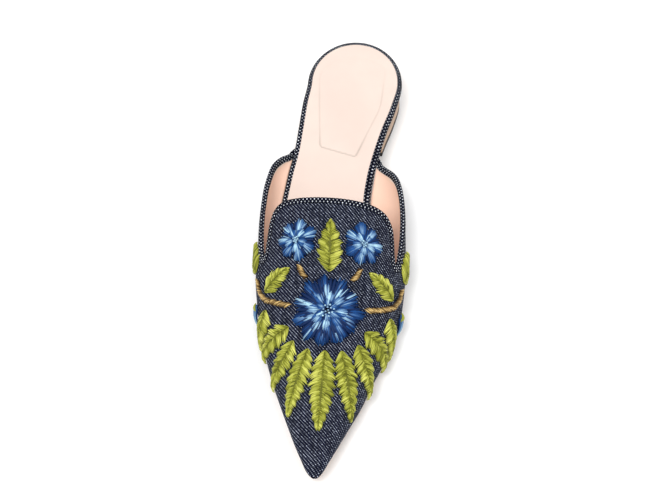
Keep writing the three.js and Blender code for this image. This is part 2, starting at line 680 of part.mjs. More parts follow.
shoe.position.set(CENTRE_X, UPPER_TIP / 2, 0);

export default shoe;
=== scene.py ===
# The finish of a woman's pointed mule for the right foot: a denim upper with a square-cut tab and a bound top
# line, thread-worked blooms and leaves, a nude leather footbed edged in denim, a thin leather sole and a low
# stacked heel. Tables are in millimetres on the last's own axes, and every mesh is made in metres in the CAD
# frame.
import math
import random
from collections import namedtuple

import bpy
import numpy as np
from mathutils import Matrix, Vector, kdtree


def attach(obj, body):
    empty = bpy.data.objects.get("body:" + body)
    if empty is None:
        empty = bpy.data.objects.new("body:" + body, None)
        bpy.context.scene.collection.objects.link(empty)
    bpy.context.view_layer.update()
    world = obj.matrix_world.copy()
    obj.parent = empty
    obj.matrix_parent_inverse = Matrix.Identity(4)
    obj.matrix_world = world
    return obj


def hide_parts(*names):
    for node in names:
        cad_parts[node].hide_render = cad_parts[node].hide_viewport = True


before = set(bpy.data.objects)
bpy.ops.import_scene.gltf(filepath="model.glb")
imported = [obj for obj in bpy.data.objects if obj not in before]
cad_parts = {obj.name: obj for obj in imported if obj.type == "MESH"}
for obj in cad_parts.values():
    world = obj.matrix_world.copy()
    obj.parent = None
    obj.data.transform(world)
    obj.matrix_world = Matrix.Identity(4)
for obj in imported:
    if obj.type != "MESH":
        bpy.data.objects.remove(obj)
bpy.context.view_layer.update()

MM = 0.001
CENTRE_X = 2.28          # from the last's axis to the middle of the shoe's box
HEEL_Y = 139.5           # the back of the heel in the frame
UPPER_TIP = 279
SOLE_TIP = 277.5
TOE_ROUND = 271          # where the straight taper of the toe turns into its rounded tip
HEEL_ROUND = 30          # depth of the half oval at the back of the heel
HEEL_HALF_WIDTH = 28.2
HEEL_SHIFT = 1.7
SOLE_THICKNESS = 3
FOOTBED_THICKNESS = 4.7
WALL = 2
GAP = 0.3
EDGE_BAND = 3            # the denim band's width at the outer waist
BAND_SEAM = 0.05         # between the band and the footbed's leather
TAPE_RISE = 2.6
TAPE_WIDTH = 3
TAPE_SKIRT = 0.7
TAPE_FLATNESS = 0.7      # power of the tape's rounding: 1 is an ellipse, less is squarer
HEEL_FRONT = 65
HEEL_INSET = 1.6
TOP_PIECE = 4
BAND_END = 160
EDGE_TURN = 0.12         # turn from the sole up to the widest line of the wall
TURN_SCALE = 150
UNDER_RUN = 100          # run along the sole for each turn past its edge
LAST_ROW = 0.02          # how far short of a tip the mesh's last row lies
MAP_PITCH = 0.5
MAP_HALF = 66.0

# The footbed's two edges from the axis, and the height of the sole's top face, from the heel to the toe.
Footbed = namedtuple("Footbed", "back lateral medial seat")
FOOTBED = [Footbed(*row) for row in (
    (0, -26.5, 29.9, 19.5),
    (30, -26.5, 29.9, 19),
    (45, -28.2, 27.4, 18.3),
    (60, -29.1, 23.3, 17),
    (75, -30.2, 20, 14.7),
    (90, -32.6, 17.6, 11.9),
    (104, -34.4, 16.6, 9.3),
    (118, -36.2, 18.9, 6.9),
    (132, -38.6, 24.5, 5),
    (145, -40.9, 31.3, 3.7),
    (160, -41, 36.1, 3),
    (175, -39.2, 36.9, 3),
    (190, -36.2, 34.3, 3),
    (205, -32, 30, 3.3),
    (220, -27.3, 24.6, 4),
    (235, -21.1, 19.3, 5),
    (250, -14.8, 13, 6.4),
    (262, -9.5, 8, 7.9),
    (271, -5.2, 4.3, 9.2),
)]

# The upper's sections: the widest line, its rise above the sole, the crown's height and place, the fullness.
Section = namedtuple("Section", "back lateral medial rise crown ridge fullness")
UPPER = [Section(*row) for row in (
    (68, -31, 20, 6, 66, -3, 2.4),
    (77, -33.5, 20.8, 8, 64.5, -3, 2.4),
    (82, -38.3, 24.2, 9.8, 63.8, -3, 2.4),
    (90, -41.9, 30.5, 12, 62.5, -3, 2.4),
    (100, -43.5, 34.3, 13.5, 61, -2.8, 2.4),
    (112, -44.5, 37, 14.6, 58.2, -2.7, 2.4),
    (127, -44.9, 39, 14.7, 54, -2.5, 2.4),
    (145, -45, 40.4, 12.7, 47.7, -1.9, 2.35),
    (160, -44.6, 41, 10.6, 42.1, -1.2, 2.3),
    (175, -42.5, 40.4, 9.2, 36.8, -0.6, 2.25),
    (190, -39.5, 37.3, 8.2, 32, -0.2, 2.2),
    (205, -35.1, 33.2, 7.3, 27.8, 0, 2.15),
    (220, -30.1, 27.4, 6.4, 24.4, 0, 2.13),
    (235, -24, 22.3, 5.6, 21.6, 0, 2.1),
    (250, -17.5, 15.8, 4.9, 19.3, 0, 2.1),
    (262, -12.1, 10.7, 4.4, 17.9, 0, 2.1),
    (271, -7.6, 6.8, 4, 16.7, 0, 2.1),
)]

# The wall's cut top edge, from the outer quarter over the tab to the inner quarter.
Edge = namedtuple("Edge", "back turn")
TOP_EDGE = [Edge(*row) for row in (
    (74, -0.025), (77, 0.004), (79.5, 0.04), (83, 0.072), (88, 0.094),
    (96, 0.114), (108, 0.132), (122, 0.151), (136, 0.174), (147, 0.197),
    (153, 0.213), (156.7, 0.228), (158.2, 0.248), (156.4, 0.268), (152, 0.279),
    (145, 0.287), (138, 0.297), (132.8, 0.317), (130.2, 0.35), (129.5, 0.4),
    (129.3, 0.45), (129.2, 0.5), (129.5, 0.55), (130.1, 0.6), (131.2, 0.646),
    (133.8, 0.683), (138.5, 0.706), (145, 0.715), (152, 0.721), (156.4, 0.731),
    (158.2, 0.751), (156.7, 0.771), (153, 0.786), (147, 0.802), (136, 0.825),
    (122, 0.848), (108, 0.866), (98, 0.884), (91, 0.908), (86, 0.936),
    (82.5, 0.966), (80, 0.997), (77, 1.025),
)]

# The embroidery's places on the upper's own map: across is along the skin from the crown line. The spray is
# symmetrical, so all but the middle bloom and the two middle leaves are worked once on each side.
Leaf = namedtuple("Leaf", "base tip half bend")
MIDDLE_LEAVES = {
    "leaf_middle": Leaf((0, 166.5), (0, 138), 6.6, 0),
    "leaf_toe": Leaf((0, 209), (0, 256), 6.6, 0),
}
PAIRED_LEAVES = [
    Leaf((48.5, 161), (58, 140), 6, 0.8),
    Leaf((38, 175.5), (22.5, 164.5), 5.2, 0.7),
    Leaf((37, 185), (47, 204), 6, 0.8),
    Leaf((21.5, 196.5), (42, 211), 6, -0.8),
    Leaf((18.2, 204), (31.5, 229.5), 5.4, 0.6),
    Leaf((9.3, 208.5), (18.2, 247), 5.6, -0.6),
]
PAIRED_BUD = Leaf((47, 178), (53, 189), 4, 0)
PAIRED_STEMS = {
    "stem_upper": [(12.5, 171), (15.5, 167.5), (17.5, 162.5)],
    "stem_outer": [(20.5, 185.5), (29, 183), (37.5, 179.5), (43.5, 173), (47, 164)],
}
Bloom = namedtuple("Bloom", "across back reach")
MIDDLE_BLOOM = Bloom(0, 187.5, 19.5)
SMALL_BLOOMS = {"lateral": Bloom(-19, 150, 11.2), "medial": Bloom(19, 150, 11.2)}
SIDES = {"lateral": -1, "medial": 1}


# Curves and the last's surface

def column(rows, key):
    """A smooth column of a table: monotone cubic between its rows, flat beyond them."""
    x = np.array([row.back for row in rows], float)
    y = np.array([getattr(row, key) for row in rows], float)
    step = np.diff(x)
    lean = np.diff(y) / step
    slope = np.zeros_like(y)
    slope[0], slope[-1] = lean[0], lean[-1]
    before, after = lean[:-1], lean[1:]
    turning = before * after <= 0
    w_before = 2 * step[1:] + step[:-1]
    w_after = step[1:] + 2 * step[:-1]
    safe_before = np.where(turning, 1, before)
    safe_after = np.where(turning, 1, after)
    blend = (w_before + w_after) / (w_before / safe_before + w_after / safe_after)
    slope[1:-1] = np.where(turning, 0, blend)

    def value(back):
        at = np.clip(np.asarray(back, float), x[0], x[-1])
        i = np.clip(np.searchsorted(x, at) - 1, 0, len(x) - 2)
        t = (at - x[i]) / step[i]
        start = (1 + 2 * t) * (1 - t) ** 2 * y[i] + t * (1 - t) ** 2 * step[i] * slope[i]
        end = t * t * (3 - 2 * t) * y[i + 1] + t * t * (t - 1) * step[i] * slope[i + 1]
        return start + end

    return value


bed_lateral, bed_medial, bed_seat = (column(FOOTBED, key) for key in ("lateral", "medial", "seat"))
wide_lateral, wide_medial, wide_rise, crown_height, ridge_x, fullness = (
    column(UPPER, key) for key in ("lateral", "medial", "rise", "crown", "ridge", "fullness")
)


def smooth(low, high, value):
    """0 below low, 1 above high, and eased between them."""
    t = np.clip((np.asarray(value, float) - low) / (high - low), 0, 1)
    return t * t * (3 - 2 * t)


def toe_share(back, tip):
    """How much of the section at the start of the toe's rounding is left."""
    return np.sqrt(np.clip((tip - np.asarray(back, float)) / (tip - TOE_ROUND), 0, 1))


def footbed_edge(back, side, inset=0.0):
    """The footbed's edge on one side (-1 outer, +1 big-toe side), moved in by inset."""
    back = np.asarray(back, float)
    reach = np.clip((HEEL_ROUND - back) / (HEEL_ROUND - inset), 0, 1)
    heel = HEEL_SHIFT + side * (HEEL_HALF_WIDTH - inset) * np.sqrt(1 - reach * reach)
    edge = bed_lateral if side < 0 else bed_medial
    slope = edge(back + 0.5) - edge(back - 0.5)
    full = edge(back) - side * inset * np.sqrt(1 + slope * slope)
    return np.where(back < HEEL_ROUND, heel, full * toe_share(back, SOLE_TIP))


def face(back, turn):
    """Points of the upper's outer face on the last's axes. Turns past the sole's edge run in along it."""
    back, turn = np.broadcast_arrays(np.asarray(back, float), np.asarray(turn, float))
    outer = turn < 0.5
    side = np.where(outer, -1.0, 1.0)
    climb = np.where(outer, turn, 1 - turn)
    share = toe_share(back, UPPER_TIP)
    seat = bed_seat(back) + GAP
    wide = np.where(outer, wide_lateral(back), wide_medial(back)) * share
    sole = (np.where(outer, bed_lateral(back), bed_medial(back)) + side * GAP) * share
    rise = wide_rise(back) * share
    low_angle = np.clip(climb / EDGE_TURN, 0, 1) * math.pi / 2
    low_x = sole + (wide - sole) * np.sin(low_angle)
    low_z = seat + rise * (1 - np.cos(low_angle))
    angle = np.clip((climb - EDGE_TURN) / (0.5 - EDGE_TURN), 0, 1) * math.pi / 2
    power = 2 / fullness(back)
    ridge = ridge_x(back)
    crown = (crown_height(back) - seat) * share
    high_x = ridge + (wide - ridge) * np.maximum(0, np.cos(angle)) ** power
    high_z = seat + rise + (crown - rise) * np.sin(angle) ** power
    low = climb < EDGE_TURN
    x = np.where(low, low_x, high_x)
    z = np.where(low, low_z, high_z)
    x = np.where(climb < 0, sole + side * climb * UNDER_RUN, x)
    z = np.where(climb < 0, seat, z)
    return np.stack([x, -back, z], axis=-1)


def unit(vectors):
    return vectors / np.maximum(np.linalg.norm(vectors, axis=-1, keepdims=True), 1e-9)


def face_normal(back, turn):
    """The way straight out of the upper's face."""
    step, reach = 0.004, 0.4
    at = np.clip(turn, step, 1 - step)
    across = face(back, at + step) - face(back, at - step)
    along = face(back + reach, at) - face(back - reach, at)
    return unit(np.cross(along, across))


def in_frame(points):
    """From the last's axes in millimetres to the CAD frame in metres."""
    return (points + np.array([CENTRE_X, HEEL_Y, 0.0])) * MM


def back_of(points):
    """How far from the heel's back, in millimetres, points of the CAD frame lie."""
    return HEEL_Y - points[:, 1] / MM


def walked_along(points):
    """How far along a line each of its points lies."""
    return np.concatenate([[0], np.cumsum(np.linalg.norm(np.diff(points, axis=0), axis=1))])


class SkinMap:
    """The upper's face as a sheet: across, along the skin from the crown line, and back, from the heel."""

    def __init__(self):
        self.backs = np.arange(60, UPPER_TIP + 0.01, 1.0)
        self.turns = np.linspace(0, 1, 401)
        back, turn = np.meshgrid(self.backs, self.turns, indexing="ij")
        points = face(back, turn)
        strides = np.linalg.norm(np.diff(points, axis=1), axis=-1)
        walked = np.concatenate([np.zeros((len(self.backs), 1)), np.cumsum(strides, axis=1)], axis=1)
        self.arcs = walked - walked[:, [len(self.turns) // 2]]
        self.acrosses = np.arange(-MAP_HALF, MAP_HALF + 0.01, MAP_PITCH)
        turned = np.stack([np.interp(self.acrosses, arc, self.turns) for arc in self.arcs])
        rows = np.repeat(self.backs[:, None], len(self.acrosses), axis=1)
        self.points = face(rows, turned)
        self.normals = face_normal(rows, turned)

    def read(self, grid, back, place):
        """A grid's value at a back, between its rows, and at a place between its columns."""
        row = np.clip(np.asarray(back, float) - self.backs[0], 0, len(self.backs) - 1.001)
        place = np.clip(place, 0, grid.shape[1] - 1.001)
        i, j = row.astype(int), place.astype(int)
        s, t = (row - i)[..., None], (place - j)[..., None]
        low = grid[i, j] * (1 - t) + grid[i, j + 1] * t
        high = grid[i + 1, j] * (1 - t) + grid[i + 1, j + 1] * t
        return low * (1 - s) + high * s

    def at(self, across, back):
        """The skin's point and normal at places on the map."""
        place = (np.asarray(across, float) + MAP_HALF) / MAP_PITCH
        return self.read(self.points, back, place), unit(self.read(self.normals, back, place))

    def across(self, back, turn):
        """How far along the skin from the crown line a turn lies."""
        place = np.clip(np.asarray(turn, float), 0, 1) * (len(self.turns) - 1.001)
        return self.read(self.arcs[..., None], back, place)[..., 0]


SKIN = SkinMap()


def between(a, b, start, end, t):
    return a + (b - a) * (t - start) / (end - start)


def catmull(points, count):
    """Evenly spaced places on a centripetal curve through a few points."""
    points = np.asarray(points, float)
    ends = [2 * points[0] - points[1], *points, 2 * points[-1] - points[-2]]
    dense = []
    for p0, p1, p2, p3 in zip(ends, ends[1:], ends[2:], ends[3:]):
        spans = [np.linalg.norm(b - a) for a, b in ((p0, p1), (p1, p2), (p2, p3))]
        k0, k1, k2, k3 = np.cumsum([0] + [max(span, 1e-6) ** 0.5 for span in spans])
        for t in np.linspace(k1, k2, 40, endpoint=False):
            a = between(p0, p1, k0, k1, t)
            b = between(p1, p2, k1, k2, t)
            c = between(p2, p3, k2, k3, t)
            dense.append(between(between(a, b, k0, k2, t), between(b, c, k1, k3, t), k1, k2, t))
    dense = np.array(dense + [points[-1]])
    walked = walked_along(dense)
    even = np.linspace(0, walked[-1], count)
    return np.stack([np.interp(even, walked, dense[:, k]) for k in range(dense.shape[1])], axis=1)


TOP_LINE = catmull([(edge.back, edge.turn * TURN_SCALE) for edge in TOP_EDGE], 901)
TOP_LINE[:, 1] /= TURN_SCALE


# Meshes

def add_to_scene(name, data):
    obj = bpy.data.objects.new(name, data)
    bpy.context.collection.objects.link(obj)
    return obj


def take(obj):
    """Makes obj the one selected and active object."""
    bpy.ops.object.select_all(action="DESELECT")
    obj.select_set(True)
    bpy.context.view_layer.objects.active = obj
    return obj


def edit(obj, *steps):
    """Runs edit mode operators on the whole of obj."""
    take(obj)
    bpy.ops.object.mode_set(mode="EDIT")
    bpy.ops.mesh.select_mode(type="VERT")
    for step in steps:
        bpy.ops.mesh.select_all(action="SELECT")
        step()
    bpy.ops.object.mode_set(mode="OBJECT")


def weld(distance=0.00001):
    return lambda: bpy.ops.mesh.remove_doubles(threshold=distance)


def face_out():
    bpy.ops.mesh.normals_make_consistent(inside=False)


def finish_with(obj, kind, **settings):
    """Adds a modifier and applies it."""
    take(obj)
    modifier = obj.modifiers.new(kind.lower(), kind)
    for key, value in settings.items():
        setattr(modifier, key, value)
    bpy.ops.object.modifier_apply(modifier=modifier.name)


def coordinates(obj):
    flat = np.empty(len(obj.data.vertices) * 3)
    obj.data.vertices.foreach_get("co", flat)
    return flat.reshape(-1, 3)


def move_to(obj, points):
    obj.data.vertices.foreach_set("co", np.asarray(points, float).ravel())
    obj.data.update()


def set_mark(obj, values):
    """Gives each vertex a number from 0 to 1 that its material may read."""
    obj.data.attributes.new("mark", "FLOAT", "POINT").data.foreach_set("value", np.asarray(values, float))


def set_uv(obj, per_vertex):
    """Gives the mesh a UV map in metres from one pair for each vertex."""
    layer = obj.data.uv_layers.active or obj.data.uv_layers.new(name="UVMap")
    index = np.empty(len(obj.data.loops), int)
    obj.data.loops.foreach_get("vertex_index", index)
    layer.data.foreach_set("uv", per_vertex[index].ravel())


def sheet(name, columns, rows):
    """A flat grid, with each vertex's place on it as two numbers from 0 to 1."""
    bpy.ops.object.select_all(action="DESELECT")
    bpy.ops.mesh.primitive_grid_add(x_subdivisions=columns, y_subdivisions=rows, size=2, location=(0, 0, 0))
    obj = bpy.context.object
    obj.name = name
    flat = coordinates(obj)
    return obj, np.clip(flat[:, 0] / 2 + 0.5, 0, 1), np.clip(flat[:, 1] / 2 + 0.5, 0, 1)


def settle(obj, node, slot, *looks, angle=None):
    """Last steps for every piece: its looks, its shading, its body and the CAD node that it stands for."""
    take(obj)
    for look in looks:
        obj.data.materials.append(look)
    if angle:
        bpy.ops.object.shade_smooth_by_angle(angle=math.radians(angle))
    else:
        bpy.ops.object.shade_smooth()
    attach(obj, "root")
    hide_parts(node)


def sweep(name, path, outward, upward, sections):
    """A closed bar with an even UV map in metres.

    sections holds its outline as points (out, up), once for the whole path or for each point of it."""
    sections = np.broadcast_to(sections, (len(path), *np.shape(sections)[-2:]))
    steps = sections.shape[1]
    obj, u, v = sheet(name, len(path) - 1, steps)
    i = np.rint(u * (len(path) - 1)).astype(int)
    turned = np.rint(v * steps).astype(int)
    out, up = sections[i, turned % steps].T
    move_to(obj, in_frame(path[i] + outward[i] * out[:, None] + upward[i] * up[:, None]))
    girth = walked_along(np.concatenate([sections[0], sections[0][:1]]))
    set_uv(obj, np.stack([girth[turned], walked_along(path)[i]], axis=1) * MM)
    edit(obj, weld(), lambda: bpy.ops.mesh.fill_holes(sides=0), face_out)
    return obj


def bead(width, height, skirt, count):
    """The outline of a rounded bar, standing on a flat underside that reaches skirt below the edge."""
    arc = np.linspace(0, math.pi, count - 2)
    out = width / 2 * np.sign(np.cos(arc)) * np.abs(np.cos(arc)) ** TAPE_FLATNESS
    up = height * np.sin(arc) ** TAPE_FLATNESS
    return np.array([(width / 2, -skirt), *zip(out, up), (-width / 2, -skirt)])


# Looks

class Look:
    """A material, with short ways to add nodes and join them."""

    def __init__(self, name, **sockets):
        self.material = bpy.data.materials.new(name)
        self.material.use_nodes = True
        self.tree = self.material.node_tree
        self.shader = self.tree.nodes["Principled BSDF"]
        for key, value in sockets.items():
            self.shader.inputs[key.replace("_", " ")].default_value = value

    def link(self, source, target):
        """Joins a socket to target, or sets target to a number, a vector or a colour."""
        if isinstance(source, bpy.types.NodeSocket):
            self.tree.links.new(source, target)
        else:
            target.default_value = (*source, 1) if target.type == "RGBA" else source

    def node(self, kind, inputs=(), **settings):
        """The outputs of a new node, whose inputs are given by name or number."""
        node = self.tree.nodes.new(kind)
        for key, value in settings.items():
            setattr(node, key, value)
        for key, source in dict(inputs).items():
            self.link(source, node.inputs[key])
        return node.outputs

    def math(self, operation, a, b=0.5, clamp=False):
        return self.node("ShaderNodeMath", {0: a, 1: b}, operation=operation, use_clamp=clamp)[0]

    def plus(self, a, b):
        return self.math("ADD", a, b)

    def minus(self, a, b):
        return self.math("SUBTRACT", a, b)

    def times(self, a, b, clamp=False):
        return self.math("MULTIPLY", a, b, clamp)

    def power(self, a, b):
        return self.math("POWER", a, b)

    def mix(self, share, a, b, blend="MIX"):
        return self.node("ShaderNodeMix", {0: share, 6: a, 7: b}, data_type="RGBA", blend_type=blend)[2]

    def ramp(self, *stops):
        """Eases a value from the first stop to the second into a number from the third to the fourth."""
        return self.node("ShaderNodeMapRange", enumerate(stops), interpolation_type="SMOOTHSTEP")[0]

    def coords(self, kind):
        return self.node("ShaderNodeTexCoord")[kind]

    def attribute(self, name, output):
        return self.node("ShaderNodeAttribute", attribute_name=name)[output]

    def split(self, where):
        return self.node("ShaderNodeSeparateXYZ", {0: where})

    def stretch(self, where, scale):
        return self.node("ShaderNodeVectorMath", {0: where, 1: scale}, operation="MULTIPLY")[0]

    def noise(self, where, scale, detail=2.0, rough=0.5):
        inputs = {"Vector": where, "Scale": scale, "Detail": detail, "Roughness": rough}
        return self.node("ShaderNodeTexNoise", inputs)[0]

    def cells(self, where, scale):
        return self.node("ShaderNodeTexVoronoi", {"Vector": where, "Scale": scale})[0]

    def chance(self, source, dimensions="1D"):
        """A number from 0 to 1 drawn for each value of source, or for each pair of them."""
        inputs = {"W" if dimensions == "1D" else "Vector": source}
        return self.node("ShaderNodeTexWhiteNoise", inputs, noise_dimensions=dimensions)[0]

    def bump(self, height, distance, strength):
        return self.node("ShaderNodeBump", {"Height": height, "Distance": distance, "Strength": strength})[0]

    def use(self, colour, normal=None, roughness=None):
        for name, value in (("Base Color", colour), ("Normal", normal), ("Roughness", roughness)):
            if value is not None:
                self.link(value, self.shader.inputs[name])
        return self.material


Weave = namedtuple("Weave", "pitch fleck repeat warp weft plain uneven")


def denim(name, weave):
    """Twill on the UV map: indigo warp floats, and a pale weft fleck at every third or second crossing.

    pitch is the width of a warp thread and the height of one pick of the weft, and fleck the size of a fleck.
    plain is the least that a fleck shows, and uneven how much more some of them do."""
    look = Look(name, Roughness=0.9, Sheen_Weight=0.015, Sheen_Roughness=0.5, Specular_IOR_Level=0.06)
    pitch, fleck, repeat = weave.pitch, weave.fleck, float(weave.repeat)
    cloth = look.coords("UV")

    # Which warp thread, or end, a place is on, and how far it is from the last crossing to the next one.
    x, y = look.split(look.stretch(cloth, (1 / pitch[0], 1 / pitch[1], 0)))[:2]
    end = look.math("FLOOR", x)
    across = look.minus(look.math("FRACT", x), 0.5)
    climb = look.plus(end, y)
    phase = look.times(look.math("FRACT", look.math("DIVIDE", climb, repeat)), repeat)
    crossing = look.node("ShaderNodeCombineXYZ", {0: end, 1: look.math("FLOOR", climb)})[0]

    # The weft shows as an oblong fleck at a crossing, brighter at some than at others.
    wide = look.power(look.times(across, 2 * pitch[0] / fleck[0]), 2.0)
    tall = look.power(look.times(look.minus(phase, 0.5), 2 * pitch[1] / fleck[1]), 2.0)
    spot = look.ramp(look.plus(wide, tall), 0.55, 1.45, 1.0, 0.0)
    slub = look.noise(look.stretch(cloth, SLUBS), 1.0, 2, 0.6)
    shown = look.times(look.power(look.chance(crossing, "2D"), 2.2), weave.uneven)
    strength = look.plus(shown, look.ramp(slub, 0.3, 0.7, weave.plain * 0.4, weave.plain * 1.6))
    share = look.times(spot, strength, clamp=True)

    # Between the crossings the warp floats over the weft, round across and along.
    float_round = look.math("SINE", look.times(look.ramp(phase, 0.8, repeat, 0.0, 1.0), math.pi))
    rib = look.minus(1.0, look.times(look.power(across, 2.0), 4.0))
    raised = look.times(rib, look.plus(float_round, 0.4))
    tone = look.plus(look.times(look.chance(end), 0.5), look.ramp(slub, 0.3, 0.7, 0.6, 0.95))
    # Painted shade and highlight: the warp's colour is darker down each thread's sides and at the crossings,
    # and lighter over the tops of its floats.
    tone = look.times(tone, look.plus(look.times(raised, 1.3), 0.25))
    shade = look.node("ShaderNodeCombineColor", {0: tone, 1: tone, 2: tone})[0]
    dyed = look.mix(1.0, weave.warp, shade, "MULTIPLY")
    height = look.plus(raised, look.times(spot, 0.5))
    return look.use(look.mix(share, dyed, weave.weft), look.bump(height, 0.00014, 0.6))


def leather(name, tone, grain, depth, roughness, coat, blotch=0.06, mark=None):
    """Smooth dressed leather: a fine pebbled grain, pores, and slow changes of tone and gloss.

    mark is a colour for the places where the piece's own "mark" attribute is 1."""
    look = Look(name, Coat_Weight=coat, Coat_Roughness=0.35, Specular_IOR_Level=0.4)
    place = look.coords("Object")
    slow = look.noise(place, 28, 3, 0.55)
    dark = tuple(c * (1 - blotch * 2.5) for c in tone)
    pale = tuple(min(1, c * (1 + blotch)) for c in tone)
    colour = look.mix(look.ramp(slow, 0.3, 0.7, 0.0, 1.0), dark, pale)
    if mark:
        colour = look.mix(look.attribute("mark", "Fac"), colour, mark)
    pores = look.noise(place, grain * 2.3, 3, 0.6)
    height = look.plus(look.times(look.cells(place, grain), 0.7), look.times(pores, 0.5))
    gloss = look.ramp(slow, 0.3, 0.7, roughness - 0.05, roughness + 0.06)
    return look.use(colour, look.bump(height, depth, 0.5), gloss)


def thread():
    """Glossy embroidery thread in each stitch's own tint, with fine fibres along it."""
    look = Look("thread", Roughness=0.42, Specular_IOR_Level=0.12)
    fibres = look.noise(look.stretch(look.coords("UV"), (9000, 900, 0)), 1.0, 2, 0.6)
    tint = look.attribute("tint", "Color")
    colour = look.mix(look.ramp(fibres, 0.3, 0.75, 0.0, 0.35), tint, (0.02, 0.02, 0.02))
    return look.use(colour, look.bump(fibres, 0.00006, 0.5))


def stacked_leather():
    """Leather lifts pressed together: thin dark lines between browns that differ a little."""
    look = Look("stacked_leather", Roughness=0.38, Coat_Weight=0.3, Coat_Roughness=0.25)
    place = look.coords("Object")
    waver = look.times(look.noise(place, 60, 2, 0.5), 0.12)
    level = look.plus(look.math("DIVIDE", look.split(place)[2], LIFT_THICKNESS), waver)
    joint = look.math("ABSOLUTE", look.minus(look.math("FRACT", level), 0.5))
    line = look.ramp(joint, 0.42, 0.5, 0.0, 0.75)
    fibre = look.noise(look.stretch(place, (60, 60, 900)), 1.0, 4, 0.65)
    brown = look.mix(look.chance(look.math("FLOOR", level)), (0.36, 0.19, 0.085), (0.5, 0.29, 0.14))
    brown = look.mix(look.ramp(fibre, 0.35, 0.7, 0.0, 0.4), brown, (0.2, 0.1, 0.045))
    colour = look.mix(line, brown, (0.06, 0.03, 0.015))
    height = look.minus(look.times(fibre, 0.3), line)
    return look.use(colour, look.bump(height, 0.00012, 0.5))


def rubber():
    """Dull dark rubber with a fine grit."""
    look = Look("rubber", Roughness=0.7, Specular_IOR_Level=0.35)
    place = look.coords("Object")
    slow = look.ramp(look.noise(place, 40), 0.3, 0.7, 0.0, 1.0)
    colour = look.mix(slow, (0.03, 0.025, 0.022), (0.05, 0.042, 0.037))
    return look.use(colour, look.bump(look.noise(place, 2600, 3, 0.6), 0.00008, 0.4))


SLUBS = (620, 60, 0)     # uneven stretches of warp: how many to a metre across and along the cloth
LIFT_THICKNESS = 0.0024
DENIM = denim("denim", Weave(
    pitch=(0.00066, 0.00066), fleck=(0.00064, 0.00049), repeat=3,
    warp=(0.0026, 0.004, 0.0145), weft=(0.6, 0.66, 0.8), plain=0.17, uneven=0.55))
EDGE_DENIM = denim("edge_denim", Weave(
    pitch=(0.0014, 0.00105), fleck=(0.00085, 0.00056), repeat=2,
    warp=(0.0024, 0.0034, 0.011), weft=(0.8, 0.84, 0.9), plain=0.45, uneven=0.6))
LINING = leather("lining_leather", tone=(0.9, 0.6, 0.46), grain=1500, depth=0.00008, roughness=0.5, coat=0.1,
                 blotch=0.04, mark=(0.85, 0.72, 0.62))
# The nude leather's mark colour is painted shade in the heel pad outline's groove.
NUDE = leather("nude_leather", tone=(0.72, 0.585, 0.515), grain=1900, depth=0.00006, roughness=0.4, coat=0.25,
               blotch=0.02, mark=(0.36, 0.31, 0.26))
SOLE_TAN = leather("sole_leather", tone=(0.5, 0.31, 0.18), grain=1300, depth=0.0001, roughness=0.45, coat=0.2)
STACK = stacked_leather()
RUBBER = rubber()
THREAD = thread()


# The upper and its tape

# The main creases, as soft troughs (positive) and ridges on the skin map: the middle of each, its heading in
# degrees from straight across, its length, its width and its depth.
Crease = namedtuple("Crease", "across back heading length width depth")
CREASES = [Crease(*row) for row in (
    (-33, 166, 35, 16, 5, 0.22),
    (-38, 171, 30, 18, 5, -0.14),
    (34, 166, -35, 16, 5, 0.22),
    (39, 171, -30, 18, 5, -0.14),
    (-52, 120, 80, 30, 8, 0.3),
    (48, 122, -80, 30, 8, 0.3),
    (-50, 143, 65, 22, 6, 0.24),
    (50, 143, -65, 22, 6, 0.24),
    (-6, 264, 20, 14, 3.5, 0.14),
    (7, 266, -25, 12, 3.5, 0.14),
)]


def crease_depth(across, back):
    depth = np.zeros_like(across)
    for crease in CREASES:
        heading = math.radians(crease.heading)
        x, y = across - crease.across, back - crease.back
        along = x * math.cos(heading) + y * math.sin(heading)
        aside = -x * math.sin(heading) + y * math.cos(heading)
        fade = smooth(1, 0.2, np.abs(along) / (crease.length / 2))
        depth += crease.depth * fade * np.exp(-((aside / crease.width * 2) ** 2))
    return depth


def distance_to_top_line(across, back):
    """How far below the cut top edge each place of the skin map lies."""
    line = np.stack([SKIN.across(TOP_LINE[:, 0], TOP_LINE[:, 1]), TOP_LINE[:, 0]], axis=1)
    tree = kdtree.KDTree(len(line))
    for i, (x, y) in enumerate(line.tolist()):
        tree.insert((x, y, 0), i)
    tree.balance()
    return np.array([tree.find((x, y, 0))[2] for x, y in zip(across.tolist(), back.tolist())])


BODY_SHARE = 0.88        # share of the upper's rows that lie behind the round of the toe


def make_upper():
    """The wall: a sheet from the cut top edge over the skin to the toe, given its thickness inwards."""
    obj, u, v = sheet("upper_denim", 270, 130)
    line = TOP_LINE[(TOP_LINE[:, 1] >= 0) & (TOP_LINE[:, 1] <= 1)]
    place = np.clip(u * (len(line) - 1), 0, len(line) - 1.001)
    i = place.astype(int)
    part = (place - i)[:, None]
    top, turn = (line[i] * (1 - part) + line[i + 1] * part).T
    body = top + (TOE_ROUND - top) * v / BODY_SHARE
    end = UPPER_TIP - LAST_ROW
    toe = end - (end - TOE_ROUND) * np.clip((1 - v) / (1 - BODY_SHARE), 0, 1) ** 2
    back = np.where(v < BODY_SHARE, body, toe)
    across = SKIN.across(back, turn)
    points = face(back, turn) - face_normal(back, turn) * crease_depth(across, back)[:, None]
    move_to(obj, in_frame(points))
    set_uv(obj, np.stack([across, -back], axis=1) * MM)
    edit(obj, lambda: bpy.ops.mesh.flip_normals())
    set_mark(obj, smooth(2.9, 2.2, distance_to_top_line(across, back)))
    for look in (DENIM, LINING):
        obj.data.materials.append(look)
    finish_with(obj, "SOLIDIFY", thickness=WALL * MM, offset=-1, use_even_offset=True,
                material_offset=1, material_offset_rim=1)
    edit(obj, weld(0.000005))
    settle(obj, "upper", "denim")


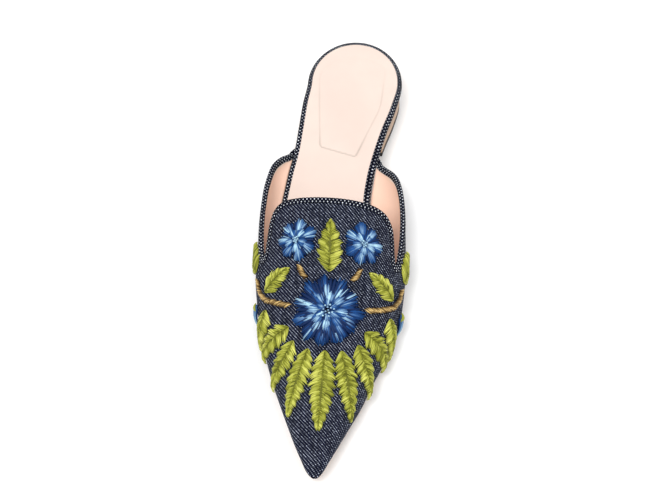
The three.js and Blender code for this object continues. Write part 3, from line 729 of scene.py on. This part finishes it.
def make_tape():
    """A rounded tape on the cut edge, along the middle of the wall."""
    back, turn = TOP_LINE[::2].T
    outward = face_normal(back, turn)
    path = face(back, turn) - outward * WALL / 2
    upward = unit(np.cross(outward, unit(np.gradient(path, axis=0))))
    profile = bead(TAPE_WIDTH, TAPE_RISE, TAPE_SKIRT, 16)
    obj = sweep("topline_tape_denim", path, outward, upward, profile)
    settle(obj, "topline_tape", "denim", EDGE_DENIM)


# The footbed, its band, the sole and the heel

HEEL_SHARE = 0.16        # share of a slab's rows in the round of the heel
TOE_SHARE = 0.06         # and in the round of the toe


def slab(name, columns, rows, edge, bottom, top, start, end, rounding):
    """A flat layer: a grid stretched between two edges, extruded down to its underside, its rims rounded."""
    obj, u, v = sheet(name, columns, rows)
    toe_part = TOE_SHARE if end > TOE_ROUND else 0.0
    heel = HEEL_ROUND - (HEEL_ROUND - start) * np.cos(np.clip(v / HEEL_SHARE, 0, 1) * math.pi / 2)
    middle_part = (v - HEEL_SHARE) / (1 - HEEL_SHARE - toe_part)
    middle = HEEL_ROUND + (min(end, TOE_ROUND) - HEEL_ROUND) * middle_part
    toe = end - (end - TOE_ROUND) * np.clip((1 - v) / TOE_SHARE, 0, 1) ** 2
    back = np.where(v < HEEL_SHARE, heel, np.where(v > 1 - toe_part, toe, middle))
    left, right = edge(back, -1), edge(back, 1)
    x = left + (right - left) * (0.5 + 0.5 * np.sin((u - 0.5) * math.pi))
    move_to(obj, in_frame(np.stack([x, -back, top(back)], axis=1)))
    edit(obj, lambda: bpy.ops.mesh.extrude_region_move(TRANSFORM_OT_translate={"value": (0, 0, 0)}))
    points = coordinates(obj)
    lower = np.zeros(len(points), bool)
    obj.data.vertices.foreach_get("select", lower)
    points[:, 2] = np.where(lower, bottom(back_of(points)) * MM, points[:, 2])
    move_to(obj, points)
    edit(obj, weld(0.00002), face_out)
    finish_with(obj, "BEVEL", width=rounding * MM, segments=4, limit_method="ANGLE",
                angle_limit=math.radians(50))
    edit(obj, weld(0.00001), face_out)
    return obj


def above_seat(height):
    """A slab's face that keeps its height over the sole's top face."""
    return lambda back: bed_seat(back) + height


def at_height(height):
    """A slab's face that is level."""
    return lambda back: np.full_like(back, height)


SOLE_INSET = 1.0         # of the sole from the footbed's edge, round the heel
SOLE_SPREAD = 1.8        # how much further out it stands at the ball and toe


def sole_edge(back, side):
    return footbed_edge(back, side, SOLE_INSET - SOLE_SPREAD * smooth(75, 150, back))


def make_sole():
    obj = slab("outsole_leather", 36, 200, sole_edge, above_seat(-SOLE_THICKNESS), bed_seat,
               SOLE_INSET, SOLE_TIP - LAST_ROW, 0.6)
    settle(obj, "outsole", "sole_leather", SOLE_TAN, angle=35)


def band_width(back, side):
    """How much of the band shows on the footbed: narrow behind the heel, widest at the inner waist."""
    wide = EDGE_BAND - 0.6 * smooth(50, 6, back)
    return wide + 0.9 * smooth(45, 95, back) if side > 0 else wide


def bed_edge(back, side):
    closed = band_width(back, side) + BAND_SEAM
    open_side = smooth(BAND_END + 1, BAND_END + 6, back)
    return footbed_edge(back, side, closed + (2 * GAP - closed) * open_side)


TOE_BED_THICKNESS = 2.2


def bed_top(back):
    thinned = (TOE_BED_THICKNESS - FOOTBED_THICKNESS) * smooth(BAND_END, 215, back)
    return bed_seat(back) + GAP + FOOTBED_THICKNESS + thinned


def make_footbed():
    """The leather inside the band, with the heel pad's outline pressed into it and painted shade in its
    groove.
    """
    obj = slab("footbed_leather", 110, 420, bed_edge, above_seat(GAP), bed_top,
               float(band_width(0, -1)) + BAND_SEAM, SOLE_TIP - 5, 1.1)
    points = coordinates(obj)
    back = back_of(points)
    on_top = points[:, 2] / MM > bed_top(back) - 0.05
    depth, groove_shade = pad_press(points[:, 0] / MM - CENTRE_X, back)
    points[:, 2] -= np.where(on_top, depth, 0) * MM
    move_to(obj, points)
    # The mark is painted shade in the pad outline's groove, darkening the leather there.
    set_mark(obj, np.where(on_top, groove_shade * 0.7, 0))
    settle(obj, "insole", "nude_leather", NUDE, angle=40)


# The pressed outline of the heel pad: its straight sides, each as a point and the lean outwards to the heel,
# its square front and its round back.
PadSide = namedtuple("PadSide", "across back lean")
PAD_OUTER = PadSide(-15.3, 74, -0.1)
PAD_WAIST = PadSide(6.75, 76, 0.38)
PAD_INNER = PadSide(18.2, 47, 0.04)
PAD_FRONT = 76.5
PAD_SLANT = 0.23
PAD_BACK = 12
PAD_HALF_WIDTH = 22
PAD_CORNER = 1.6
PAD_GROOVE = 0.4
PAD_GROOVE_HALF = 0.75
PAD_SINK = 0.14


def pad_press(x, back):
    """How deep the pad's pressed outline goes at each place, and how much painted shade darkens the leather
    in its groove.
    """
    outer, waist, inner = (
        side.across + side.lean * (side.back - back) for side in (PAD_OUTER, PAD_WAIST, PAD_INNER)
    )
    reach = np.clip(HEEL_ROUND - back, 0, None) / (HEEL_ROUND - PAD_BACK)
    oval = np.sqrt(reach ** 2 + ((x - HEEL_SHIFT) / PAD_HALF_WIDTH) ** 2)
    round_back = (oval - 1) * (HEEL_ROUND - PAD_BACK)
    sides = [outer - x, x - waist, x - inner, back - (PAD_FRONT + PAD_SLANT * x), round_back]
    inside = sum(np.maximum(side + PAD_CORNER, 0) ** 2 for side in sides) ** 0.5 - PAD_CORNER
    groove = np.clip(1 - (inside / PAD_GROOVE_HALF) ** 2, 0, 1) ** 2
    fade = smooth(14, 44, back) * (0.45 + 0.55 * smooth(62, 74, back))
    return groove * PAD_GROOVE * fade + PAD_SINK * smooth(0.4, -0.4, inside), groove * fade


BAND_SIDE = 1.3          # how far the band's rounded outer side takes to turn


def make_band():
    """The denim band round the footbed, from one side of the ball round the heel to the other."""
    heel = HEEL_ROUND * (1 - np.cos(np.linspace(0, 1, 41)[1:] * math.pi / 2))
    stops = np.concatenate([heel, np.linspace(HEEL_ROUND, BAND_END, 91)[1:]])
    places = [(back, -1) for back in stops[::-1]] + [(0.0, 1)] + [(back, 1) for back in stops]
    path = [(footbed_edge(back, side), -back, bed_seat(back) + GAP) for back, side in places]
    path = np.array(path, float)
    along = unit(np.gradient(path, axis=0) * np.array([1, 1, 0]))
    outward = np.stack([-along[:, 1], along[:, 0], np.zeros(len(along))], axis=1)
    upward = np.tile(np.array([0.0, 0.0, 1.0]), (len(path), 1))
    height = FOOTBED_THICKNESS + 0.15
    arc = np.linspace(-math.pi / 2, math.pi / 2, 11)
    rounded = [(BAND_SIDE * (math.cos(a) - 1), height / 2 * (1 + math.sin(a))) for a in arc]
    sections = []
    for back, side in places:
        wide = band_width(back, side)
        sections.append([(-wide, 0.0), *rounded, (-wide + 0.5, height), (-wide, height - 0.5)])
    obj = sweep("footbed_band_denim", path, outward, upward, sections)
    settle(obj, "footbed_band", "denim", EDGE_DENIM)


LIFT_GAP = 0.05          # left between the heel's stack, the sole and the top piece


def heel_edge(back, side):
    return footbed_edge(back, side, HEEL_INSET)


def make_heel():
    stack = slab("heel_stack", 24, 60, heel_edge, at_height(TOP_PIECE + LIFT_GAP),
                 above_seat(-SOLE_THICKNESS - LIFT_GAP), HEEL_INSET, HEEL_FRONT, 0.25)
    settle(stack, "heel", "stacked_leather", STACK, angle=35)
    piece = slab("heel_top_piece_rubber", 24, 60, heel_edge, at_height(0), at_height(TOP_PIECE),
                 HEEL_INSET, HEEL_FRONT, 0.35)
    settle(piece, "heel_top_piece", "rubber", RUBBER, angle=35)


# The embroidery

STATIONS = 7             # places along a stitch where its thread is shaped
RING = 5                 # corners round it
ALONG = np.linspace(0, 1, STATIONS)
THREAD_ROUND = 0.75      # a thread's height for its width
THREAD_LIFT = 0.5        # from the skin to the padding
STITCH_WIDTH = 0.78
LEAF_HEIGHT = 1.5
TOOTH = 5.2              # along the vein from one tooth of a leaf's edge to the next
TOOTH_PEAK = 0.68        # share of the tooth behind its point
TOOTH_VALLEY = 0.86      # share of the leaf's half width where two teeth meet
TOOTH_TIP = 1.2
LEAF_LEAN = 3.4          # how far forwards a leaf's stitches run
STEM_HALF = 1.3
STEM_LEAN = 1.7


class Palette(namedtuple("Palette", "deep mid pale")):
    def shade(self, level):
        """A colour from deep (0) through mid (0.5) to pale (1)."""
        deep, mid, pale = (np.array(c) for c in self)
        level = min(1, max(0, level))
        return deep + (mid - deep) * level * 2 if level < 0.5 else mid + (pale - mid) * (level - 0.5) * 2


GREEN = Palette((0.045, 0.05, 0.003), (0.38, 0.4, 0.04), (0.85, 0.86, 0.2))
BLUE = Palette((0.0006, 0.01, 0.06), (0.01, 0.095, 0.34), (0.56, 0.86, 1.0))
BROWN = Palette((0.025, 0.012, 0.004), (0.2, 0.11, 0.032), (0.78, 0.55, 0.22))


def arch(start=0.0, part=1.0, power=1.0):
    """How a stitch rises and falls along its length: a part of the sine's half turn, from start."""
    return np.sin(math.pi * (start + part * ALONG)) ** power


def spread(count):
    """Even places from -1 to 1, each in the middle of its share."""
    return [(i + 0.5) / count * 2 - 1 for i in range(count)]


class Stitches:
    """Stitches gathered as places on the skin map, then made into one mesh of thin closed threads."""

    def __init__(self, seed):
        self.random = random.Random(seed)
        self.paths, self.lifts, self.widths, self.tints = [], [], [], []

    def add(self, start, end, lift, width, first, last=None, bow=0.0, painted_highlight=None):
        """One stitch from start to end on the map. lift gives its height along it, bow its sideways curve.

        It changes from the first colour to the last, and about its middle it turns towards a painted
        highlight colour."""
        start, end = np.array(start, float), np.array(end, float)
        run = end - start
        aside = np.array([-run[1], run[0]]) * (arch() * bow)[:, None]
        self.paths.append(start + run * ALONG[:, None] + aside)
        self.lifts.append(lift)
        self.widths.append(width)
        tint = first + ((first if last is None else last) - first) * ALONG[:, None]
        # Painted highlight: about the stitch's middle the tint is pulled towards the highlight colour.
        if painted_highlight is not None:
            tint = tint + (painted_highlight - tint) * (np.sin(math.pi * ALONG ** 0.9) ** 3)[:, None]
        self.tints.append(tint)

    def build(self, node, slot):
        """Makes the piece that stands for node."""
        paths = np.array(self.paths)
        points, normals = SKIN.at(paths[..., 0], paths[..., 1])
        points = points + normals * np.array(self.lifts)[..., None]
        along = unit(np.gradient(points, axis=1))
        side = unit(np.cross(normals, along))
        up = np.cross(along, side) * THREAD_ROUND
        taper = 0.3 + 0.7 * arch(0.06, 0.88, 0.6)
        radius = np.array(self.widths)[:, None] / 2 * taper
        ring = [
            points + side * (math.cos(a) * radius)[..., None] + up * (math.sin(a) * radius)[..., None]
            for a in np.linspace(0, 2 * math.pi, RING, endpoint=False) + math.pi / 2
        ]
        vertices = np.stack(ring, axis=2).reshape(-1, 3)

        count = len(paths)
        corner = np.arange(len(vertices)).reshape(count, STATIONS, RING)
        after = np.roll(corner, -1, axis=2)
        walls = np.stack([corner[:, 1:], after[:, 1:], after[:, :-1], corner[:, :-1]], axis=-1)
        faces = [*walls.reshape(-1, 4).tolist(), *corner[:, 0].tolist(), *corner[:, -1, ::-1].tolist()]
        mesh = bpy.data.meshes.new(f"{node}_thread")
        mesh.from_pydata(in_frame(vertices).tolist(), [], faces)
        obj = add_to_scene(f"{node}_thread", mesh)

        tint = mesh.attributes.new("tint", "FLOAT_COLOR", "POINT")
        colours = np.repeat(np.reshape(self.tints, (-1, 3)), RING, axis=0)
        tint.data.foreach_set("color", np.insert(colours, 3, 1, axis=1).ravel())
        length = np.linalg.norm(points[:, -1] - points[:, 0], axis=1)[:, None] * ALONG
        run = length + np.arange(count)[:, None] * 3.7
        uv = np.stack(np.broadcast_arrays(np.arange(RING) / RING * 2, run[..., None]), axis=-1)
        set_uv(obj, uv.reshape(-1, 2) * MM)
        settle(obj, node, slot, THREAD)


def almond(leaf, side):
    """A function from shares (along, across) of a leaf to its place on the map, and the leaf's length."""
    base = np.array([leaf.base[0] * side, leaf.base[1]], float)
    tip = np.array([leaf.tip[0] * side, leaf.tip[1]], float)
    run = tip - base
    length = float(np.linalg.norm(run))
    left = np.array([-run[1], run[0]]) / length

    def place(s, r):
        s = min(1, max(0, s))
        width = leaf.half * max(0, math.sin(math.pi * s ** 0.75)) ** 0.8
        return base + run * s + left * (r * width + side * leaf.bend * math.sin(math.pi * s))

    return place, length


def padding(stitches, place, half, tone):
    """Long wide stitches under the satin ones, which round the leaf up."""
    rows = max(3, int(half / 0.75))
    for r in spread(rows):
        start = place(0.1 + 0.16 * r * r, r * 0.86)
        end = place(0.9 - 0.14 * r * r, r * 0.7)
        lift = LEAF_HEIGHT * math.sqrt(1 - r * r * 0.8) * arch(0.16, 0.68)
        stitches.add(start, end, lift, half * 2 / rows * 1.25, tone)


def leaf_height(s):
    """A leaf's height at a share of its length: it falls off towards its base and its tip."""
    return LEAF_HEIGHT * min(1, 3.5 * s + 0.1, 4.5 * (1 - s) + 0.25)


def make_leaf(node, leaf, side, seed):
    """Satin stitches fan from the vein forwards into the teeth of the edge, over a rounded padding."""
    stitches = Stitches(seed)
    chance = stitches.random
    place, length = almond(leaf, side)
    padding(stitches, place, leaf.half, GREEN.shade(0.12))
    teeth = max(3, round(length / TOOTH))
    span = 0.93 / teeth
    per_tooth = max(6, round(span * length / 0.56))
    forward = LEAF_LEAN / length
    slope = (0.8 + 0.2 * np.sin(np.minimum(1, ALONG / 0.6) * math.pi / 2)) * (1 - 0.8 * ALONG ** 4)
    mood = chance.uniform(-0.08, 0.08)
    for r in (-1, 1):
        for tooth in range(teeth):
            tone = mood + chance.uniform(-0.1, 0.1)
            for i in range(per_tooth):
                q = i / (per_tooth - 1)
                behind = q < TOOTH_PEAK
                rise = q / TOOTH_PEAK if behind else (1 - q) / (1 - TOOTH_PEAK)
                swept = 0.92 * q if behind else 0.63 + 1.1 * (q - TOOTH_PEAK)
                s = span * (tooth + q) + 0.004
                ahead = span * (tooth + swept) + forward * (1 - 0.5 * s)
                reach = TOOTH_VALLEY + (TOOTH_TIP - TOOTH_VALLEY) * rise + chance.uniform(-0.08, 0.06)
                crest = THREAD_LIFT + 0.15 + leaf_height(s) + chance.uniform(-0.1, 0.14)
                # Painted shade and highlight: stitches are lighter towards each tooth's point and on one side
                # of the leaf, and each runs from darker at the vein to lighter at the edge.
                level = 0.52 + tone + chance.uniform(-0.22, 0.2) + 0.16 * rise + 0.06 * r * side
                level -= 0.3 * (chance.random() < 0.08)
                width = STITCH_WIDTH * chance.uniform(0.85, 1.15)
                stitches.add(place(s, 0.03 * r), place(ahead, r * reach), crest * slope, width,
                             GREEN.shade(level - 0.14), GREEN.shade(level + 0.1), 0.04 * r)
        short = int(length / 1.1)
        for i in range(short):
            s = 0.05 + 0.8 * (i + chance.random()) / short
            crest = THREAD_LIFT + 0.3 + leaf_height(s)
            tone = GREEN.shade(chance.uniform(0.1, 0.75))
            end = place(s + forward * 0.6, r * chance.uniform(0.4, 0.62))
            stitches.add(place(s, 0.02 * r), end, crest * (0.8 + 0.2 * arch()), 0.55, tone, bow=0.04 * r)
    veins = int(length / 2.2)
    for i in range(veins):
        s = 0.03 + 0.86 * i / veins
        tone = GREEN.shade(chance.uniform(0.1, 0.4))
        lift = THREAD_LIFT + LEAF_HEIGHT * 0.86 + 0.14 * arch()
        stitches.add(place(s, 0.0), place(s + 0.86 / veins * 1.15, 0.0), lift, 0.55, tone)
    stitches.build(node, "green_thread")


Tier = namedtuple("Tier", "petals inner outer floor crest tone turn")
LARGE_TIERS = [
    Tier(11, 0.4, 1.06, 0.25, 1.5, 0.28, 0.0),
    Tier(10, 0.28, 0.86, 0.5, 2.0, 0.4, 0.28),
    Tier(8, 0.18, 0.64, 0.9, 2.6, 0.46, 0.1),
    Tier(6, 0.06, 0.4, 1.6, 3.0, 0.4, 0.5),
]
SMALL_TIERS = [
    Tier(7, 0.22, 1.03, 0.3, 1.7, 0.34, 0.0),
    Tier(5, 0.06, 0.62, 1.1, 2.6, 0.46, 0.3),
]


def make_bloom(node, bloom, tiers, seed, side):
    """Tiers of rounded petals, each a fan of long satin stitches with pale streaks towards its tip."""
    stitches = Stitches(seed)
    chance = stitches.random
    centre = np.array([bloom.across, bloom.back], float)

    def spot(radius, angle):
        return centre + radius * np.array([math.cos(angle) * side, math.sin(angle)])

    # Stitches under the petals; their deep blue is painted shade in the gaps between the petals.
    spokes = int(bloom.reach * 2.4)
    for i in range(spokes):
        angle = 2 * math.pi * i / spokes
        stitches.add(spot(0.1 * bloom.reach, angle), spot(0.9 * bloom.reach, angle),
                     0.4 + 0.9 * arch(0.85, -0.75), bloom.reach * 0.13, BLUE.shade(0.05))
    for tier in tiers:
        half = math.pi / tier.petals
        count = max(7, int(tier.outer * bloom.reach * half * 2 / 0.6))
        for petal in range(tier.petals):
            middle = 2 * math.pi * petal / tier.petals + tier.turn + chance.uniform(-0.05, 0.05)
            size = chance.uniform(0.9, 1.04)
            mood = chance.uniform(-0.14, 0.18)
            for t in spread(count):
                outline = 1 - 0.24 * abs(t) ** 2 + chance.uniform(-0.09, 0.04)
                inner = bloom.reach * tier.inner * chance.uniform(0.85, 1.15)
                outer = bloom.reach * tier.outer * outline * size
                crest = tier.crest * (1 - 0.3 * t * t) + chance.uniform(-0.12, 0.12)
                lift = tier.floor + (crest - tier.floor) * arch(0.22, 0.72, 0.8)
                # Painted shade and highlight: a petal is darker towards its sides, more so on one of them,
                # and at its base, and each stitch is paler about its middle, most near the petal's centre
                # line.
                level = tier.tone + mood + chance.uniform(-0.2, 0.2) - 0.2 * abs(t) - 0.1 * t
                streak = chance.random() < 0.12
                width = STITCH_WIDTH * chance.uniform(0.85, 1.15)
                stitches.add(
                    spot(inner, middle + t * half * 0.75), spot(outer, middle + t * half * 0.94), lift, width,
                    BLUE.shade(level - 0.3), BLUE.shade(level + 0.06 + 0.4 * streak), 0.03 * t,
                    BLUE.shade(level + 0.3 - 0.5 * t * t + 0.3 * streak))
    for i in range(int(bloom.reach * 0.8)):
        here = spot(0.075 * bloom.reach * math.sqrt(i + 0.3) * 0.7, i * 2.4)
        lift = THREAD_LIFT + 2.35 + 0.35 * arch()
        stitches.add(here - (0.45, 0), here + (0.45, 0), lift, 1.0, BLUE.shade(chance.uniform(0.7, 1.0)))
    stitches.build(node, "blue_thread")


def make_bud(node, bud, side, seed):
    """A closed bud: long stitches to its tip, held by a green cup at its base."""
    stitches = Stitches(seed)
    chance = stitches.random
    place = almond(bud, side)[0]
    padding(stitches, place, bud.half, BLUE.shade(0.1))
    for layer, count in enumerate((9, 6)):
        for r in spread(count):
            reach = 1 - 0.14 * abs(r) - 0.1 * layer
            height = LEAF_HEIGHT * (0.75 + 0.35 * layer) * math.sqrt(1 - 0.7 * r * r)
            lift = (THREAD_LIFT + height + 0.2) * arch(0.14, 0.8, 0.6)
            level = 0.42 + 0.14 * layer + chance.uniform(-0.18, 0.2)
            streak = 0.3 * (chance.random() < 0.3)
            stitches.add(place(0.06, r * 0.9), place(0.52 * reach + 0.44, r * 0.75), lift, 0.85,
                         BLUE.shade(level - 0.2), BLUE.shade(level + 0.15 + streak), 0.1 * r)
    for r in spread(7):
        level = chance.uniform(0.25, 0.7)
        lift = THREAD_LIFT + 0.3 + LEAF_HEIGHT * 0.95 * arch(0.1, 0.6)
        stitches.add(place(0.0, 0), place(0.36 - 0.08 * abs(r), r * 1.05), lift, 0.75,
                     GREEN.shade(level), GREEN.shade(level + 0.1))
    stitches.build(node, "blue_thread")


def make_stem(node, route, side, seed):
    """A corded stem: long slanting stitches laid half over one another, like a twisted cord."""
    stitches = Stitches(seed)
    chance = stitches.random
    line = catmull([(across * side, back) for across, back in route], 60)
    total = walked_along(line)[-1]
    count = int(total / 0.5)
    slant = STEM_LEAN / total

    def at(s):
        return np.array([np.interp(s, np.linspace(0, 1, len(line)), line[:, k]) for k in (0, 1)])

    core = 6
    for i in range(core):
        s = 0.08 + 0.84 * i / core
        stitches.add(at(s), at(s + 0.92 / core), np.full(STATIONS, THREAD_LIFT), STEM_HALF * 2.2,
                     BROWN.shade(0.1))
    for i in range(count):
        s = slant + (1 - 2 * slant) * (i + 0.5) / count
        along = unit(at(min(1, s + 0.02)) - at(max(0, s - 0.02)))
        across = np.array([-along[1], along[0]]) * side
        wide = STEM_HALF * chance.uniform(0.95, 1.15)
        twist = chance.uniform(-0.3, 0.3)
        # Painted shade and highlight: each stitch is darker at its ends, on the cord's sides, and paler about
        # its middle, along the cord's top.
        level = 0.5 + 0.25 * math.sin(i * 2.4) + chance.uniform(-0.35, 0.35)
        stitches.add(at(s - slant) - across * (wide + twist), at(s + slant) + across * (wide - twist),
                     0.3 + 1.4 * arch(0.08, 0.84, 0.7), 0.72, BROWN.shade(level - 0.25),
                     BROWN.shade(level - 0.15), 0.05, BROWN.shade(level + 0.25))
    stitches.build(node, "stem_thread")


def make_embroidery():
    """The middle leaves and bloom, then each side's bloom, bud, leaves and stems, each with its seed."""
    for i, (node, leaf) in enumerate(MIDDLE_LEAVES.items()):
        make_leaf(node, leaf, 1, 100 + i)
    make_bloom("bloom_middle", MIDDLE_BLOOM, LARGE_TIERS, 2, 1)
    for second, (name, side) in enumerate(SIDES.items()):
        make_bloom(f"bloom_{name}", SMALL_BLOOMS[name], SMALL_TIERS, 10 + second, side)
        make_bud(f"bud_{name}", PAIRED_BUD, side, 20 + second)
        for i, leaf in enumerate(PAIRED_LEAVES, 1):
            make_leaf(f"leaf_{name}_{i}", leaf, side, 30 + i * 2 + second)
        for i, (stem, route) in enumerate(PAIRED_STEMS.items()):
            make_stem(f"{stem}_{name}", route, side, 60 + i * 2 + second)


# The camera, the floor and the light

# The photo's camera in the frame: where it stands, and which way its picture's right and its view point.
CAMERA_PLACE = Vector((82.5, -567.3, 1059.5)) * MM
CAMERA_RIGHT = Vector((0.99744, 0.0715, 0))
CAMERA_VIEW = Vector((-0.0336, 0.4683, -0.8829))
PHOTO_FOCAL = 1406.4     # in pixels
PHOTO_WIDTH = 670
CLOSER = 1.47            # how much larger the one shoe is shown than in the photo
AIM = Vector((1.5, 0, 16)) * MM


def make_camera():
    """The photo's camera, turned from its place towards the one shoe."""
    data = bpy.data.cameras.new("camera")
    data.sensor_width = 36
    data.lens = PHOTO_FOCAL * CLOSER / PHOTO_WIDTH * data.sensor_width
    data.clip_end = 20
    camera = add_to_scene("camera", data)
    aim = (AIM - CAMERA_PLACE).normalized()
    swing = CAMERA_VIEW.normalized().rotation_difference(aim)
    right = (swing @ CAMERA_RIGHT).normalized()
    up = right.cross(aim).normalized()
    turn = Matrix((right, up, -aim)).transposed().to_4x4()
    camera.matrix_world = Matrix.Translation(CAMERA_PLACE) @ turn
    bpy.context.scene.camera = camera


def make_floor():
    bpy.ops.object.select_all(action="DESELECT")
    bpy.ops.mesh.primitive_plane_add(size=6, location=(0, 0, 0))
    floor = bpy.context.object
    floor.name = "floor"
    floor.data.materials.append(Look("floor", Roughness=0.9, Specular_IOR_Level=0.1).use((1, 1, 1)))


Lamp = namedtuple("Lamp", "name place size power")
LAMPS = [
    Lamp("key", (-0.35, -0.5, 1.6), 0.8, 14.5),
    Lamp("fill", (0.8, 0.1, 1.4), 1.2, 5.5),
    Lamp("rim", (0.1, 1.3, 1.1), 1.0, 3),
]
LIT_PLACE = Vector((0, 0, 0.02))


def make_lights():
    for lamp in LAMPS:
        data = bpy.data.lights.new(lamp.name, "AREA")
        data.shape = "DISK"
        data.size = lamp.size
        data.energy = lamp.power
        light = add_to_scene(lamp.name, data)
        light.location = lamp.place
        light.rotation_euler = (LIT_PLACE - light.location).to_track_quat("-Z", "Y").to_euler()
    world = bpy.data.worlds.new("studio")
    world.use_nodes = True
    background = world.node_tree.nodes["Background"]
    background.inputs["Color"].default_value = (1, 1, 1, 1)
    background.inputs["Strength"].default_value = 0.8
    bpy.context.scene.world = world
    bpy.context.scene.view_settings.view_transform = "Standard"


make_camera()
make_floor()
make_lights()
make_sole()
make_heel()
make_footbed()
make_upper()
make_band()
make_tape()
make_embroidery()
